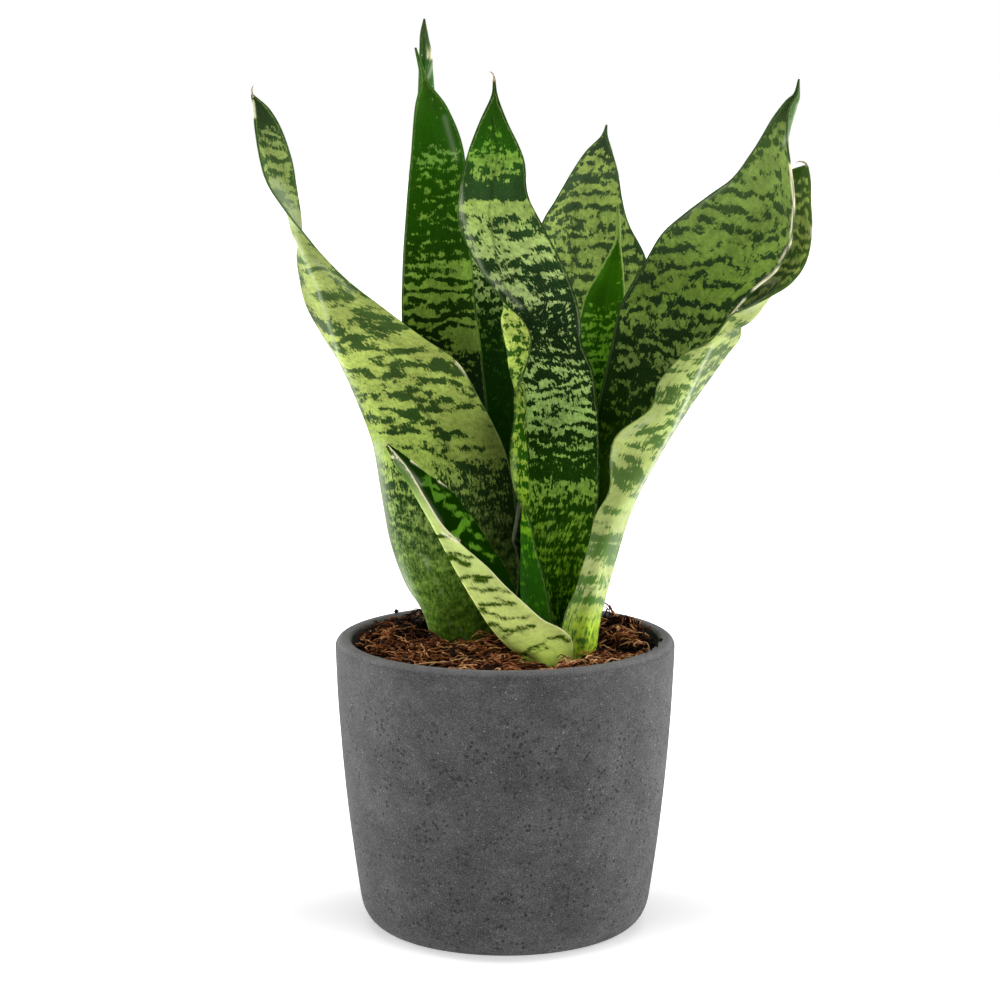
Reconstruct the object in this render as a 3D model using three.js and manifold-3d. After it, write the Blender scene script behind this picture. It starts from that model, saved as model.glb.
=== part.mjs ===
// A snake plant in a round pot: nine leaves and one small dried sheath, standing in coir soil
// in a thick-walled grey pot.
// Millimetres, +Z up. The origin is the centre of the pot's flat base.
import * as THREE from 'three';
import { mergeVertices } from 'three/addons/utils/BufferGeometryUtils.js';
import Module from 'manifold-3d';

// Pot
const POT_RADIUS = 67.5; // outside, at the rim
const POT_HEIGHT = 117;
const POT_WALL = 6.4;
const POT_FLOOR = 9;
const FOOT_RADIUS = 44.2; // of the flat base
const CORNER_HEIGHT = 12.3; // where the rounded foot meets the side
const CORNER_RADIUS = 58; // the pot's radius at that height
const SIDE_BULGE = 1.6; // how far the side swells past a straight taper
const RIM_ROUNDING = 3.2;
const RIM_INNER_ROUNDING = 1.6;
const INNER_CORNER = 7; // rounding between the inside of the wall and the floor
const POT_SEGMENTS = 64;

// Soil
const SOIL_LEVEL = 112.5;
const SOIL_LUMPS = 0.7;
const SOIL_HEAPS = [
  { x: -42, y: 26, spread: 16, height: 4 },
  { x: 44, y: 14, spread: 15, height: 3 },
];
const SOIL_SIDE_LEVELS = [82, 48]; // where the soil's side follows the curved wall
const SOIL_RINGS = 9;
const SOIL_SECTORS = 40;
const SEAT_GAP = 0.3; // between the soil and the pot, and round each leaf's base

// Leaves
const BLADE_THICKNESS = 2.2; // along the middle of a blade
const MARGIN_THICKNESS = 0.9;
const BASE_SWELL = 1.4; // extra thickness at a leaf's base
const BASE_STRETCH = 0.25; // the share of the length over which the base swells
const TIP_STRETCH = 0.08; // the share of the length over which the tip thins
const STEPS_PER_SECTION = 2; // along the blade, between two measured cross-sections
const STEPS_ACROSS = 8;

// The rows below are measured from the front, as an eye VIEW_DISTANCE before the pot and
// VIEW_HEIGHT above its base sees them: [x, z, y], with x and z taken in the plane through the
// pot's axis, and y how far behind that plane the point lies.
const VIEW_DISTANCE = 1190;
const VIEW_HEIGHT = 370;
const VIEW_SIDE = -2;

// How far each leaf has leaned back, or forward where negative, LEAN_HEIGHT above the soil.
// The lean grows with the height to the power LEAN_CURVE.
const LEAN_HEIGHT = 250;
const LEAN_CURVE = 1.5;
const LEANS = {
  leaf_left_twisted: -20,
  leaf_left_back: 12,
  leaf_tall_back: 24,
  leaf_centre: 6,
  leaf_right_back: 38,
  leaf_young: 8,
  leaf_right: 8,
  leaf_right_outer: 8,
  leaf_front_small: -45,
  sheath_small: 0,
};

const LEAF_COLORS = {
  leaf_left_twisted: 0x86a154,
  leaf_left_back: 0x4c7a33,
  leaf_tall_back: 0x2f5a2e,
  leaf_centre: 0x658f45,
  leaf_right_back: 0x6f9350,
  leaf_young: 0x4d9422,
  leaf_right: 0x55793b,
  leaf_right_outer: 0x8fa95c,
  leaf_front_small: 0x9aae5f,
  sheath_small: 0x77725f,
};

// Each leaf is a list of cross-sections from its base to its tip. A cross-section runs from the
// left margin to the right one, as seen from the leaf's inner face with its tip up.
const LEAVES = {
  leaf_left_twisted: [
    [[2, 104, 26], [-15, 98, 13], [-26, 100, 17], [-29, 104, 27]],
    [[4, 124, 25], [-17, 118, 11], [-28, 120, 15], [-31, 124, 26]],
    [[5.5, 140, 23], [-19, 135, 8], [-33, 136, 11], [-39.5, 138.5, 22]],
    [[5, 157, 21], [-20.5, 153, 6], [-37, 153, 9], [-45.3, 155, 20]],
    [[3.5, 178, 19], [-21, 175, 5], [-40, 174, 8], [-48.9, 175, 18]],
    [[-1.2, 194.6, 17], [-24, 195, 4], [-43, 195, 7], [-52, 194, 17]],
    [[-9.9, 212, 16], [-33, 212, 4], [-50, 212, 7], [-58.5, 212, 16]],
    [[-18.7, 226.7, 15], [-43, 227, 4], [-60, 226, 6], [-65, 227, 15]],
    [[-31.3, 235.6, 14], [-53, 238, 4], [-66, 236.5, 5], [-71, 236.5, 15]],
    [[-44.5, 245.5, 12], [-62, 249, 4], [-71, 250.5, 5], [-77.5, 248.5, 15]],
    [[-60, 257.5, 9], [-70.5, 261, 4], [-75, 260.5, 6], [-80.3, 260, 15]],
    [[-70.7, 268.2, 6], [-76, 269.5, 5], [-78.4, 269.5, 8], [-81, 269, 15]],
    [[-78.7, 277.6, 4], [-81.8, 277.5, 8], [-81.5, 277, 12], [-79.5, 276.5, 17]],
    [[-85.6, 286.5, 3], [-84.5, 287, 11], [-82, 287, 15], [-79.6, 285, 18]],
    [[-92, 296.1, 4], [-89, 296.5, 12], [-85, 297, 16], [-81.1, 297, 16]],
    [[-95.1, 306, 6], [-92, 306, 13], [-88, 306, 15], [-82.7, 306, 13]],
    [[-96.7, 317, 8], [-94, 317, 13], [-90.5, 317, 14], [-86.4, 317, 12]],
    [[-97.2, 325, 8], [-96, 325, 11], [-94, 325, 12], [-91, 325, 11]],
    [[-98.2, 330.5, 9], [-97.9, 330.7, 9.4], [-97.6, 330.8, 9.5], [-97.2, 330.5, 9.2]],
  ],
  leaf_left_back: [
    [[-26, 104, 28], [-15, 104, 37], [-4, 104, 30]],
    [[-30, 135, 28], [-17, 135, 38], [-4, 135, 29]],
    [[-36, 175, 27], [-20, 175, 38], [-5, 175, 28]],
    [[-39.5, 215, 27], [-23, 215, 38], [-7.5, 215, 27]],
    [[-40.5, 250, 27], [-25.5, 250, 37], [-11.5, 250, 27]],
    [[-39, 280, 28], [-26, 280, 37], [-14, 280, 28]],
    [[-36.5, 308, 29], [-26.5, 308, 36], [-15.8, 308, 29]],
    [[-35, 325, 30], [-28.5, 325, 35], [-22, 325, 31]],
    [[-32.8, 336, 32], [-31.2, 336, 34], [-30, 336, 32.5]],
    [[-34.9, 348.5, 32], [-34.6, 348.6, 32.5], [-34.2, 348.5, 32]],
  ],
  leaf_tall_back: [
    [[-10, 104, 38], [-2, 104, 46], [6, 104, 46], [13, 104, 39]],
    [[-14, 140, 39], [-5, 140, 48], [4, 140, 48], [11, 140, 40]],
    [[-20, 180, 41], [-9, 180, 50], [1, 180, 50], [7, 180, 41]],
    [[-25, 220, 42], [-13, 220, 51], [-4, 220, 51], [4, 220, 42]],
    [[-29, 255, 43], [-18, 255, 51], [-9, 255, 51], [-1, 255, 43]],
    [[-32, 285, 44], [-24, 285, 51], [-16, 285, 51], [-9, 285, 44]],
    [[-34, 310, 45], [-28, 310, 50], [-22, 310, 50], [-18, 310, 45]],
    [[-33.5, 324, 46], [-30, 324, 49.5], [-26, 324, 48], [-25, 324, 44]],
    [[-32.5, 338, 47], [-30.5, 338, 49], [-27.7, 338, 47], [-29.8, 338, 44]],
    [[-32.2, 346, 47], [-30.3, 346, 48.5], [-28.2, 346, 47], [-28.4, 346, 45]],
    [[-31.8, 353.5, 47], [-30.8, 353.5, 48], [-29.8, 353.5, 47.6], [-29.6, 353.5, 46.5]],
    [[-30.6, 359.5, 47], [-30.4, 359.6, 47.4], [-30.2, 359.6, 47.3], [-30, 359.5, 47]],
  ],
  leaf_centre: [
    [[17, 100, -8], [9, 100, -2], [18, 100, 9], [29, 100, -2]],
    [[19, 121, -8], [8.5, 121, -1], [18, 121, 10], [29.5, 121, -1]],
    [[16, 139, -6], [7, 139, 0], [17, 139, 11], [31.5, 139, 0]],
    [[12.3, 153, -4], [7.2, 153, 1], [17, 153, 12], [34, 153, 1]],
    [[9.7, 164, -1], [7.6, 164, 4], [18, 164, 12], [36, 164, 2]],
    [[4, 175, 1], [10, 175, 7], [20, 175, 12], [37, 175, 3]],
    [[1.8, 190, 2], [8.7, 190, 8], [21, 190, 12.5], [37.3, 190, 4]],
    [[3.5, 204, 2], [8, 204, 8], [21, 204, 13], [36.8, 204, 5]],
    [[4, 214, 0], [6.5, 214, 7], [20, 214, 13], [35.8, 214, 6]],
    [[7.8, 223, -1], [3, 223, 5], [18, 223, 13], [34.5, 223, 7]],
    [[10.5, 234, -1], [1, 234, 5], [16, 234, 13.5], [30.2, 234, 8]],
    [[7.3, 243, 1], [-0.5, 243, 7], [14, 243, 14], [29.6, 243, 8.5]],
    [[-2, 252, 5], [1.5, 252, 9.5], [12, 252, 14], [27.7, 252, 9]],
    [[-11, 265, 8], [-2.5, 265, 12], [8, 265, 15], [22.5, 265, 9.5]],
    [[-18, 280, 9], [-9, 280, 13], [1, 280, 15.5], [14, 280, 10]],
    [[-17.8, 292, 10], [-10, 292, 13.5], [-2, 292, 15.5], [8.2, 292, 11]],
    [[-15.2, 306, 11], [-9, 306, 14], [-3, 306, 15], [6.6, 306, 12]],
    [[-10, 320, 12], [-6.8, 320, 13.8], [-3.6, 320, 14.5], [1, 320, 12.5]],
    [[-5.3, 330, 13], [-4.6, 330, 13.8], [-3.9, 330, 13.8], [-2.9, 330, 13]],
    [[-4.7, 336.5, 13], [-4.5, 336.6, 13.4], [-4.1, 336.6, 13.4], [-3.8, 336.5, 13]],
  ],
  leaf_right_back: [
    [[14, 104, 37], [22, 104, 45], [31, 104, 38]],
    [[13, 140, 37], [24, 140, 48], [36, 140, 38]],
    [[10, 180, 38], [26, 180, 50], [44, 180, 39]],
    [[8, 215, 39], [29, 215, 52], [51, 215, 40]],
    [[8, 245, 40], [31, 245, 53], [56, 245, 41]],
    [[10, 265, 41], [32.5, 265, 53], [55.6, 265, 42]],
    [[14, 280.5, 42], [33, 280.5, 52], [48.3, 280.5, 43]],
    [[20, 290, 43], [34, 290, 51], [45.6, 290, 44]],
    [[25.7, 299.6, 44], [35.5, 300, 50], [44, 300, 45]],
    [[31.8, 308.5, 46], [37, 308.5, 49.5], [41.5, 308.5, 46]],
    [[37.4, 314.8, 48], [38.5, 315, 48.7], [39.6, 314.8, 48]],
    [[38.9, 319, 48.5], [39.2, 319.1, 48.8], [39.5, 319, 48.5]],
  ],
  leaf_young: [
    [[24, 104, 27], [29, 104, 33], [34.5, 104, 28]],
    [[24, 140, 26], [31, 140, 33], [39.5, 140, 27]],
    [[24, 180, 25], [34, 180, 33], [44.5, 180, 26]],
    [[26, 220, 25], [36.5, 220, 33], [47, 220, 26]],
    [[30.3, 249.5, 26], [39, 249.5, 32], [46.8, 250, 26.5]],
    [[36.8, 262.3, 27], [41.5, 262.3, 31], [46, 262.3, 27.5]],
    [[43, 275, 29], [43.9, 275, 30.5], [44.8, 275, 29]],
    [[43.4, 288, 29.5], [43.8, 288.1, 30], [44.2, 288, 29.5]],
  ],
  leaf_right: [
    [[20.5, 104, 16], [25, 103, 22], [29, 103, 20], [32, 104, 13]],
    [[25, 140, 15], [29, 139, 21], [34, 137, 18], [37, 136, 9]],
    [[30, 178, 12], [36, 174, 19], [42, 168, 14], [45, 164, 3]],
    [[36, 208, 11], [45, 201, 18], [52, 193, 13], [54, 186, -2]],
    [[41, 231, 12], [51, 222, 18], [60, 212, 12], [63, 203, -4]],
    [[45, 249, 13], [57, 238, 19], [68, 226, 12], [71, 218, -4]],
    [[54.7, 266.5, 14], [66, 254, 19], [76, 240, 11], [79, 231, -4]],
    [[61, 277, 14], [73, 265, 18], [84, 252, 11], [87.5, 243.5, -5]],
    [[69.4, 284.6, 14], [80, 275, 17], [91, 262, 10], [97, 254.7, -7]],
    [[79, 291.8, 13], [88, 284, 17], [98.5, 272, 10], [106, 262.5, -6]],
    [[88.3, 298.8, 12], [96, 293, 15], [104.5, 283, 9], [111.3, 273, -4]],
    [[94.9, 307.7, 11], [101, 303, 14], [107.5, 297, 9], [112.5, 288.5, -1]],
    [[99.5, 315, 10], [103, 312, 12.5], [107.5, 308.5, 9], [110.6, 304, 2]],
    [[103.6, 322, 9], [106.5, 319.5, 11], [109.2, 317, 9], [108.9, 315, 5]],
    [[108.4, 328.2, 8], [110, 326.5, 9.5], [112, 326.5, 8], [109.5, 325, 5]],
    [[111.6, 331, 7], [112.4, 331, 8], [113.1, 331, 7.5], [112.6, 331, 6]],
    [[113.1, 336.5, 6.5], [113.3, 336.6, 7], [113.6, 336.6, 6.9], [113.5, 336.5, 6.4]],
  ],
  leaf_right_outer: [
    [[34, 94, -11], [30, 91, -21], [22, 95, -13]],
    [[36.2, 120, -9], [31, 119, -20], [23, 122, -13]],
    [[39.3, 136, -5], [34, 136, -18], [28, 136, -14]],
    [[43.6, 151, 0], [38, 152, -17], [32.5, 152, -15]],
    [[47, 164.5, 2], [43, 166, -16], [35, 165, -15]],
    [[52.5, 176.5, 4], [49, 176, -14], [40.7, 176, -16]],
    [[58.5, 188.5, 5], [55.5, 187.5, -13], [41.7, 189, -17]],
    [[65, 198.5, 6], [61, 197.5, -13], [45.5, 197.3, -17]],
    [[72, 208.5, 6], [66.5, 208.5, -13], [57.5, 207.7, -16]],
    [[79.5, 219, 7], [72, 219, -12], [60.3, 219, -15]],
    [[86.5, 229, 8], [77.5, 229, -11], [69.7, 229.5, -14]],
    [[92, 237, 10], [84, 237, -8], [80, 235, -13]],
    [[96, 244.5, 13], [93.8, 243, -2], [88, 244.8, -12]],
    [[97, 254.5, 17], [100.3, 250, 3], [95, 248.1, -11]],
    [[97.5, 265, 20], [105, 257.5, 9], [103.8, 252.6, -9]],
    [[99, 275, 22], [110, 266, 12], [111.5, 257.6, -7]],
    [[101.5, 284, 22], [113, 275, 13], [117, 265.5, -4]],
    [[104, 291.5, 20], [114.5, 283.5, 13], [119.3, 277, -1]],
    [[107.5, 298, 18], [115, 292, 12], [118.7, 289.5, 2]],
    [[111, 301.7, 14], [115.5, 299, 11], [118.6, 297, 4]],
    [[115.8, 303.4, 10], [116.6, 303.4, 9], [117.6, 303, 7.5]],
  ],
  leaf_front_small: [
    [[26, 98, -22], [14, 91, -34], [4, 99, -19]],
    [[27, 113.5, -22], [13, 107, -34.5], [6, 118, -17]],
    [[23, 119.5, -26], [3, 112.5, -35], [7, 127, -17]],
    [[15, 123.8, -30], [-5, 121, -36], [3, 137, -18]],
    [[7, 131, -33], [-11.5, 131.5, -36], [-1, 146, -19]],
    [[0, 137.5, -34], [-16.5, 140, -36], [-6, 154, -20]],
    [[-7, 145, -35], [-21.5, 149.5, -36], [-11, 162, -22]],
    [[-17, 153.8, -35], [-26, 158.5, -35], [-17.5, 171, -24]],
    [[-24.5, 161.2, -36], [-30.5, 167.5, -35], [-24, 178, -27]],
    [[-31, 171.8, -37], [-35.5, 176, -36], [-31, 182.6, -31]],
    [[-38.5, 184.7, -38], [-41, 184.5, -37.5], [-37.5, 188.2, -35]],
    [[-45.9, 193.8, -39], [-46.9, 193.3, -39], [-46, 194.3, -38.5]],
  ],
  sheath_small: [
    [[9, 104, 12], [12, 104, 15], [15, 104, 15]],
    [[8, 130, 12], [10.5, 130, 15], [13, 130, 15]],
    [[4.8, 150, 11], [8, 149, 14.5], [11, 148, 15]],
    [[2.9, 156, 10], [6.5, 157, 13.5], [9.5, 158, 14.5]],
    [[4.2, 164, 11], [6.2, 165, 13.5], [8.5, 166, 14]],
    [[5.3, 172, 12], [5.8, 172.3, 12.6], [6.3, 172, 12.6]],
  ],
};

const wasm = await Module();
wasm.setup();

function material(color, roughness) {
  return new THREE.MeshStandardMaterial({ color, roughness, metalness: 0 });
}

function meshGeometry(vertices, faces) {
  const geometry = new THREE.BufferGeometry();
  const numbers = vertices.flatMap((v) => [v.x, v.y, v.z]);
  geometry.setAttribute('position', new THREE.Float32BufferAttribute(numbers, 3));
  geometry.setIndex(faces.flat());
  return geometry;
}

function toSolid(geometry) {
  const bare = geometry.clone();
  bare.deleteAttribute('normal');
  bare.deleteAttribute('uv');
  const merged = mergeVertices(bare, 1e-4);
  return new wasm.Manifold(new wasm.Mesh({
    numProp: 3,
    vertProperties: new Float32Array(merged.attributes.position.array),
    triVerts: new Uint32Array(merged.index.array),
  }));
}

function fromSolid(solid) {
  const mesh = solid.getMesh();
  const geometry = new THREE.BufferGeometry();
  geometry.setAttribute('position', new THREE.Float32BufferAttribute(mesh.vertProperties, 3));
  geometry.setIndex(Array.from(mesh.triVerts));
  return geometry;
}

// The value at t on the smooth curve that runs from b to c, with a before and d after them.
function curveValue(a, b, c, d, t) {
  const linear = c - a;
  const square = 2 * a - 5 * b + 4 * c - d;
  const cube = 3 * b - a - 3 * c + d;
  return b + 0.5 * t * (linear + t * (square + t * cube));
}

// A point on the smooth curve through a list of points, at a position from 0 to 1.
function pointOnCurve(points, position) {
  const spans = points.length - 1;
  const span = Math.min(Math.floor(position * spans), spans - 1);
  const t = position * spans - span;
  const b = points[span];
  const c = points[span + 1];
  const a = points[span - 1] ?? b.clone().multiplyScalar(2).sub(c);
  const d = points[span + 2] ?? c.clone().multiplyScalar(2).sub(b);
  return new THREE.Vector3(
    curveValue(a.x, b.x, c.x, d.x, t),
    curveValue(a.y, b.y, c.y, d.y, t),
    curveValue(a.z, b.z, c.z, d.z, t),
  );
}

// A measured [x, z, y], leaned, and moved along the line of sight to its own depth.
function place([x, z, y], lean) {
  const depth = y + lean * Math.max(0, (z - SOIL_LEVEL) / LEAN_HEIGHT) ** LEAN_CURVE;
  const reach = 1 + depth / VIEW_DISTANCE;
  const side = VIEW_SIDE + (x - VIEW_SIDE) * reach;
  const height = VIEW_HEIGHT + (z - VIEW_HEIGHT) * reach;
  return new THREE.Vector3(side, depth, height);
}

// The blade's middle surface, as rows of points from base to tip.
function bladeSurface(name) {
  const sections = LEAVES[name];
  const points = sections.map((section) => section.map((point) => place(point, LEANS[name])));
  const rails = sections[0].map((_, k) => points.map((section) => section[k]));
  const steps = (sections.length - 1) * STEPS_PER_SECTION;
  const rows = [];
  for (let i = 0; i <= steps; i += 1) {
    const across = rails.map((rail) => pointOnCurve(rail, i / steps));
    const row = [];
    for (let j = 0; j <= STEPS_ACROSS; j += 1) row.push(pointOnCurve(across, j / STEPS_ACROSS));
    rows.push(row);
  }
  return rows;
}

function surfaceNormal(rows, i, j) {
  const below = rows[Math.max(i - 1, 0)][j];
  const above = rows[Math.min(i + 1, rows.length - 1)][j];
  const left = rows[i][Math.max(j - 1, 0)];
  const right = rows[i][Math.min(j + 1, STEPS_ACROSS)];
  const across = right.clone().sub(left);
  return across.cross(above.clone().sub(below)).normalize();
}

// A blade's thickness: thin at the margins and the tip, thickest in the middle of the base.
function bladeThickness(along, across) {
  const middle = 1 - (2 * across - 1) ** 2;
  const base = BASE_SWELL * Math.max(0, 1 - along / BASE_STRETCH) ** 2;
  const tip = Math.min(1, (1 - along) / TIP_STRETCH);
  return MARGIN_THICKNESS + (BLADE_THICKNESS - MARGIN_THICKNESS + base) * middle * tip;
}

// The closed blade. With grow it is larger all round, to cut the hole that its base stands in.
function leafGeometry(name, grow = 0) {
  const rows = bladeSurface(name);
  const steps = rows.length - 1;
  const inner = [];
  const outer = [];
  rows.forEach((row, i) => row.forEach((point, j) => {
    const normal = surfaceNormal(rows, i, j);
    const half = 0.5 * bladeThickness(i / steps, j / STEPS_ACROSS) + grow;
    const centre = point.clone();
    if (j === 0) centre.add(point.clone().sub(row[1]).setLength(grow));
    if (j === STEPS_ACROSS) centre.add(point.clone().sub(row[j - 1]).setLength(grow));
    if (i === 0) centre.add(point.clone().sub(rows[1][j]).setLength(grow));
    inner.push(centre.clone().addScaledVector(normal, half));
    outer.push(centre.clone().addScaledVector(normal, -half));
  }));
  const width = STEPS_ACROSS + 1;
  const offset = inner.length;
  const faces = [];
  const quad = (a, b, c, d) => faces.push([a, b, c], [a, c, d]);
  for (let i = 0; i < steps; i += 1) {
    for (let j = 0; j < STEPS_ACROSS; j += 1) {
      const a = i * width + j;
      const b = a + 1;
      const c = b + width;
      const d = a + width;
      quad(a, b, c, d);
      faces.push([offset + a, offset + c, offset + b], [offset + a, offset + d, offset + c]);
    }
    const left = i * width;
    const right = left + STEPS_ACROSS;
    quad(left, left + width, offset + left + width, offset + left);
    quad(right, offset + right, offset + right + width, right + width);
  }
  const last = steps * width;
  for (let j = 0; j < STEPS_ACROSS; j += 1) {
    quad(j, offset + j, offset + j + 1, j + 1);
    quad(last + j, last + j + 1, offset + last + j + 1, offset + last + j);
  }
  return meshGeometry([...inner, ...outer], faces);
}

// The outside of the pot's side, from the rounded foot (t = 0) to the rim (t = 1).
function sidePoint(t) {
  const top = POT_HEIGHT - RIM_ROUNDING;
  const radius = CORNER_RADIUS + (POT_RADIUS - CORNER_RADIUS) * t + SIDE_BULGE * 4 * t * (1 - t);
  return new THREE.Vector2(radius, CORNER_HEIGHT + (top - CORNER_HEIGHT) * t);
}

// The inside radius at a height, one wall inside the outer side.
function insideRadius(height) {
  const t = (height - CORNER_HEIGHT) / (POT_HEIGHT - RIM_ROUNDING - CORNER_HEIGHT);
  return sidePoint(THREE.MathUtils.clamp(t, 0, 1)).x - POT_WALL;
}

function potGeometry() {
  const profile = [new THREE.Vector2(0, 0), new THREE.Vector2(FOOT_RADIUS, 0)];
  const foot = sidePoint(0);
  const slope = (sidePoint(0.01).x - foot.x) / (sidePoint(0.01).y - foot.y);
  const control = new THREE.Vector2(foot.x - slope * foot.y, 0);
  const corner = new THREE.QuadraticBezierCurve(profile[1].clone(), control, foot);
  profile.push(...corner.getPoints(5).slice(1));
  for (let k = 1; k <= 6; k += 1) profile.push(sidePoint(k / 6));
  for (let k = 1; k <= 3; k += 1) {
    const turn = (k / 3) * Math.PI / 2;
    const radius = POT_RADIUS - RIM_ROUNDING * (1 - Math.cos(turn));
    profile.push(new THREE.Vector2(radius, POT_HEIGHT - RIM_ROUNDING * (1 - Math.sin(turn))));
  }
  const mouth = POT_RADIUS - POT_WALL;
  for (let k = 0; k <= 2; k += 1) {
    const turn = (k / 2) * Math.PI / 2;
    const radius = mouth + RIM_INNER_ROUNDING * (1 - Math.sin(turn));
    profile.push(new THREE.Vector2(radius, POT_HEIGHT - RIM_INNER_ROUNDING * (1 - Math.cos(turn))));
  }
  const innerFoot = POT_FLOOR + INNER_CORNER;
  for (let k = 1; k <= 4; k += 1) {
    const height = THREE.MathUtils.lerp(POT_HEIGHT - RIM_INNER_ROUNDING, innerFoot, k / 4);
    profile.push(new THREE.Vector2(insideRadius(height), height));
  }
  const innerStart = profile[profile.length - 1].clone();
  const innerEnd = new THREE.Vector2(innerStart.x - INNER_CORNER, POT_FLOOR);
  const innerControl = new THREE.Vector2(innerStart.x, POT_FLOOR);
  const innerCorner = new THREE.QuadraticBezierCurve(innerStart, innerControl, innerEnd);
  profile.push(...innerCorner.getPoints(2).slice(1), new THREE.Vector2(0, POT_FLOOR));
  const geometry = new THREE.LatheGeometry(profile, POT_SEGMENTS);
  geometry.rotateX(Math.PI / 2);
  return geometry;
}

// The height of the soil's lumpy top: low at the front, heaped at the left and at the right.
function soilHeight(x, y) {
  let height = SOIL_LEVEL;
  height += SOIL_LUMPS * Math.sin(x / 4.1 + 1.3 * Math.sin(y / 6.3)) * Math.cos(y / 4.7 + x / 11);
  for (const heap of SOIL_HEAPS) {
    const distance = Math.hypot(x - heap.x, y - heap.y);
    height += heap.height * Math.exp(-((distance / heap.spread) ** 2));
  }
  return height;
}

function soilGeometry() {
  const vertices = [];
  const faces = [];
  const bottom = POT_FLOOR + SEAT_GAP;
  const rimRadius = insideRadius(SOIL_LEVEL) - SEAT_GAP;
  const rings = [];
  for (let ring = 1; ring <= SOIL_RINGS; ring += 1) {
    rings.push({ radius: rimRadius * ring / SOIL_RINGS, height: null });
  }
  const lowest = POT_FLOOR + INNER_CORNER;
  for (const height of [...SOIL_SIDE_LEVELS, lowest]) {
    rings.push({ radius: insideRadius(height) - 2 * SEAT_GAP, height });
  }
  rings.push({ radius: insideRadius(lowest) - INNER_CORNER, height: bottom });
  vertices.push(new THREE.Vector3(0, 0, soilHeight(0, 0)));
  for (const { radius, height } of rings) {
    for (let sector = 0; sector < SOIL_SECTORS; sector += 1) {
      const turn = (sector / SOIL_SECTORS) * 2 * Math.PI;
      const x = radius * Math.cos(turn);
      const y = radius * Math.sin(turn);
      vertices.push(new THREE.Vector3(x, y, height ?? soilHeight(x, y)));
    }
  }
  vertices.push(new THREE.Vector3(0, 0, bottom));
  const at = (ring, sector) => 1 + ring * SOIL_SECTORS + (sector % SOIL_SECTORS);
  for (let sector = 0; sector < SOIL_SECTORS; sector += 1) {
    faces.push([0, at(0, sector), at(0, sector + 1)]);
    for (let ring = 0; ring < rings.length - 1; ring += 1) {
      faces.push([at(ring, sector), at(ring + 1, sector), at(ring + 1, sector + 1)]);
      faces.push([at(ring, sector), at(ring + 1, sector + 1), at(ring, sector + 1)]);
    }
    const lastRing = rings.length - 1;
    faces.push([vertices.length - 1, at(lastRing, sector + 1), at(lastRing, sector)]);
  }
  return meshGeometry(vertices, faces);
}

function build() {
  const group = new THREE.Group();
  const add = (name, geometry, finish) => {
    geometry.computeVertexNormals();
    const mesh = new THREE.Mesh(geometry, finish);
    mesh.name = name;
    group.add(mesh);
  };
  add('pot', potGeometry(), material(0x55565a, 0.85));
  let soil = toSolid(soilGeometry());
  for (const name of Object.keys(LEAVES)) {
    soil = soil.subtract(toSolid(leafGeometry(name, SEAT_GAP)));
  }
  add('soil', fromSolid(soil), material(0x4a2c1a, 0.95));
  for (const name of Object.keys(LEAVES)) {
    add(name, leafGeometry(name), material(LEAF_COLORS[name], 0.45));
  }
  return group;
}

const group = build();

export default group;
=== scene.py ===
import functools
import math
import random

import bpy
import numpy as np
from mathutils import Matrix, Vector, noise
from mathutils.kdtree import KDTree


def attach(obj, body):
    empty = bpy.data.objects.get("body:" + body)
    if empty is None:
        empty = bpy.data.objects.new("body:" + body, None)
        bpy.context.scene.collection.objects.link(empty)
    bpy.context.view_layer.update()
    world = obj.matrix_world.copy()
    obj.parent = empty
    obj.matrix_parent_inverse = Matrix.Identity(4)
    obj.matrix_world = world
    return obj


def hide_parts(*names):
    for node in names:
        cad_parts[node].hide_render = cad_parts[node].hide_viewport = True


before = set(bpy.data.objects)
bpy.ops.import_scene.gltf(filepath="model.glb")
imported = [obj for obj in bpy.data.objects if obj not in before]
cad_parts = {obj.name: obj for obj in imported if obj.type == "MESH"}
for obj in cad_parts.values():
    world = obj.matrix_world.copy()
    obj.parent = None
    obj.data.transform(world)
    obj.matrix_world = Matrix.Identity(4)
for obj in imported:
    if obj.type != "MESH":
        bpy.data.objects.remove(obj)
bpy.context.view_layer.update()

# A snake plant in a round grey pot. The sizes below are in millimetres, as the solids' own
# sizes are, and MM turns them into Blender's metres.
MM = 0.001

# Pot
POT_RADIUS = 67.5
POT_HEIGHT = 117
POT_WALL = 6.4
POT_FLOOR = 9
FOOT_RADIUS = 44.2
CORNER_HEIGHT = 12.3
CORNER_RADIUS = 58
SIDE_BULGE = 1.6
RIM_ROUNDING = 3.2
RIM_INNER_ROUNDING = 1.6
INNER_CORNER = 7
POT_SEGMENTS = 256

# Soil
SOIL_LEVEL = 112.5
SOIL_LUMPS = 0.7
SOIL_HEAPS = [(-42, 26, 16, 4), (44, 14, 15, 3)]  # x, y, spread, height
SOIL_GAP = 0.3
SOIL_RINGS = 70
SOIL_SECTORS = 200

# Blades
BLADE_THICKNESS = 2.2
MARGIN_THICKNESS = 0.7
BASE_SWELL = 1.4
BASE_STRETCH = 0.25
TIP_STRETCH = 0.08
ROW_SPACING = 1.0
COLUMNS = 40
MARGIN_ROUNDING = 0.25

# The eye that the blades' cross-sections are measured from, before the pot.
VIEW_DISTANCE = 1190
VIEW_HEIGHT = 370
VIEW_SIDE = -2
VIEW_PITCH = 0.165  # radians, downwards
LENS = 110
SENSOR = 36
CLIP = (0.05, 50)  # in metres


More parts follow.
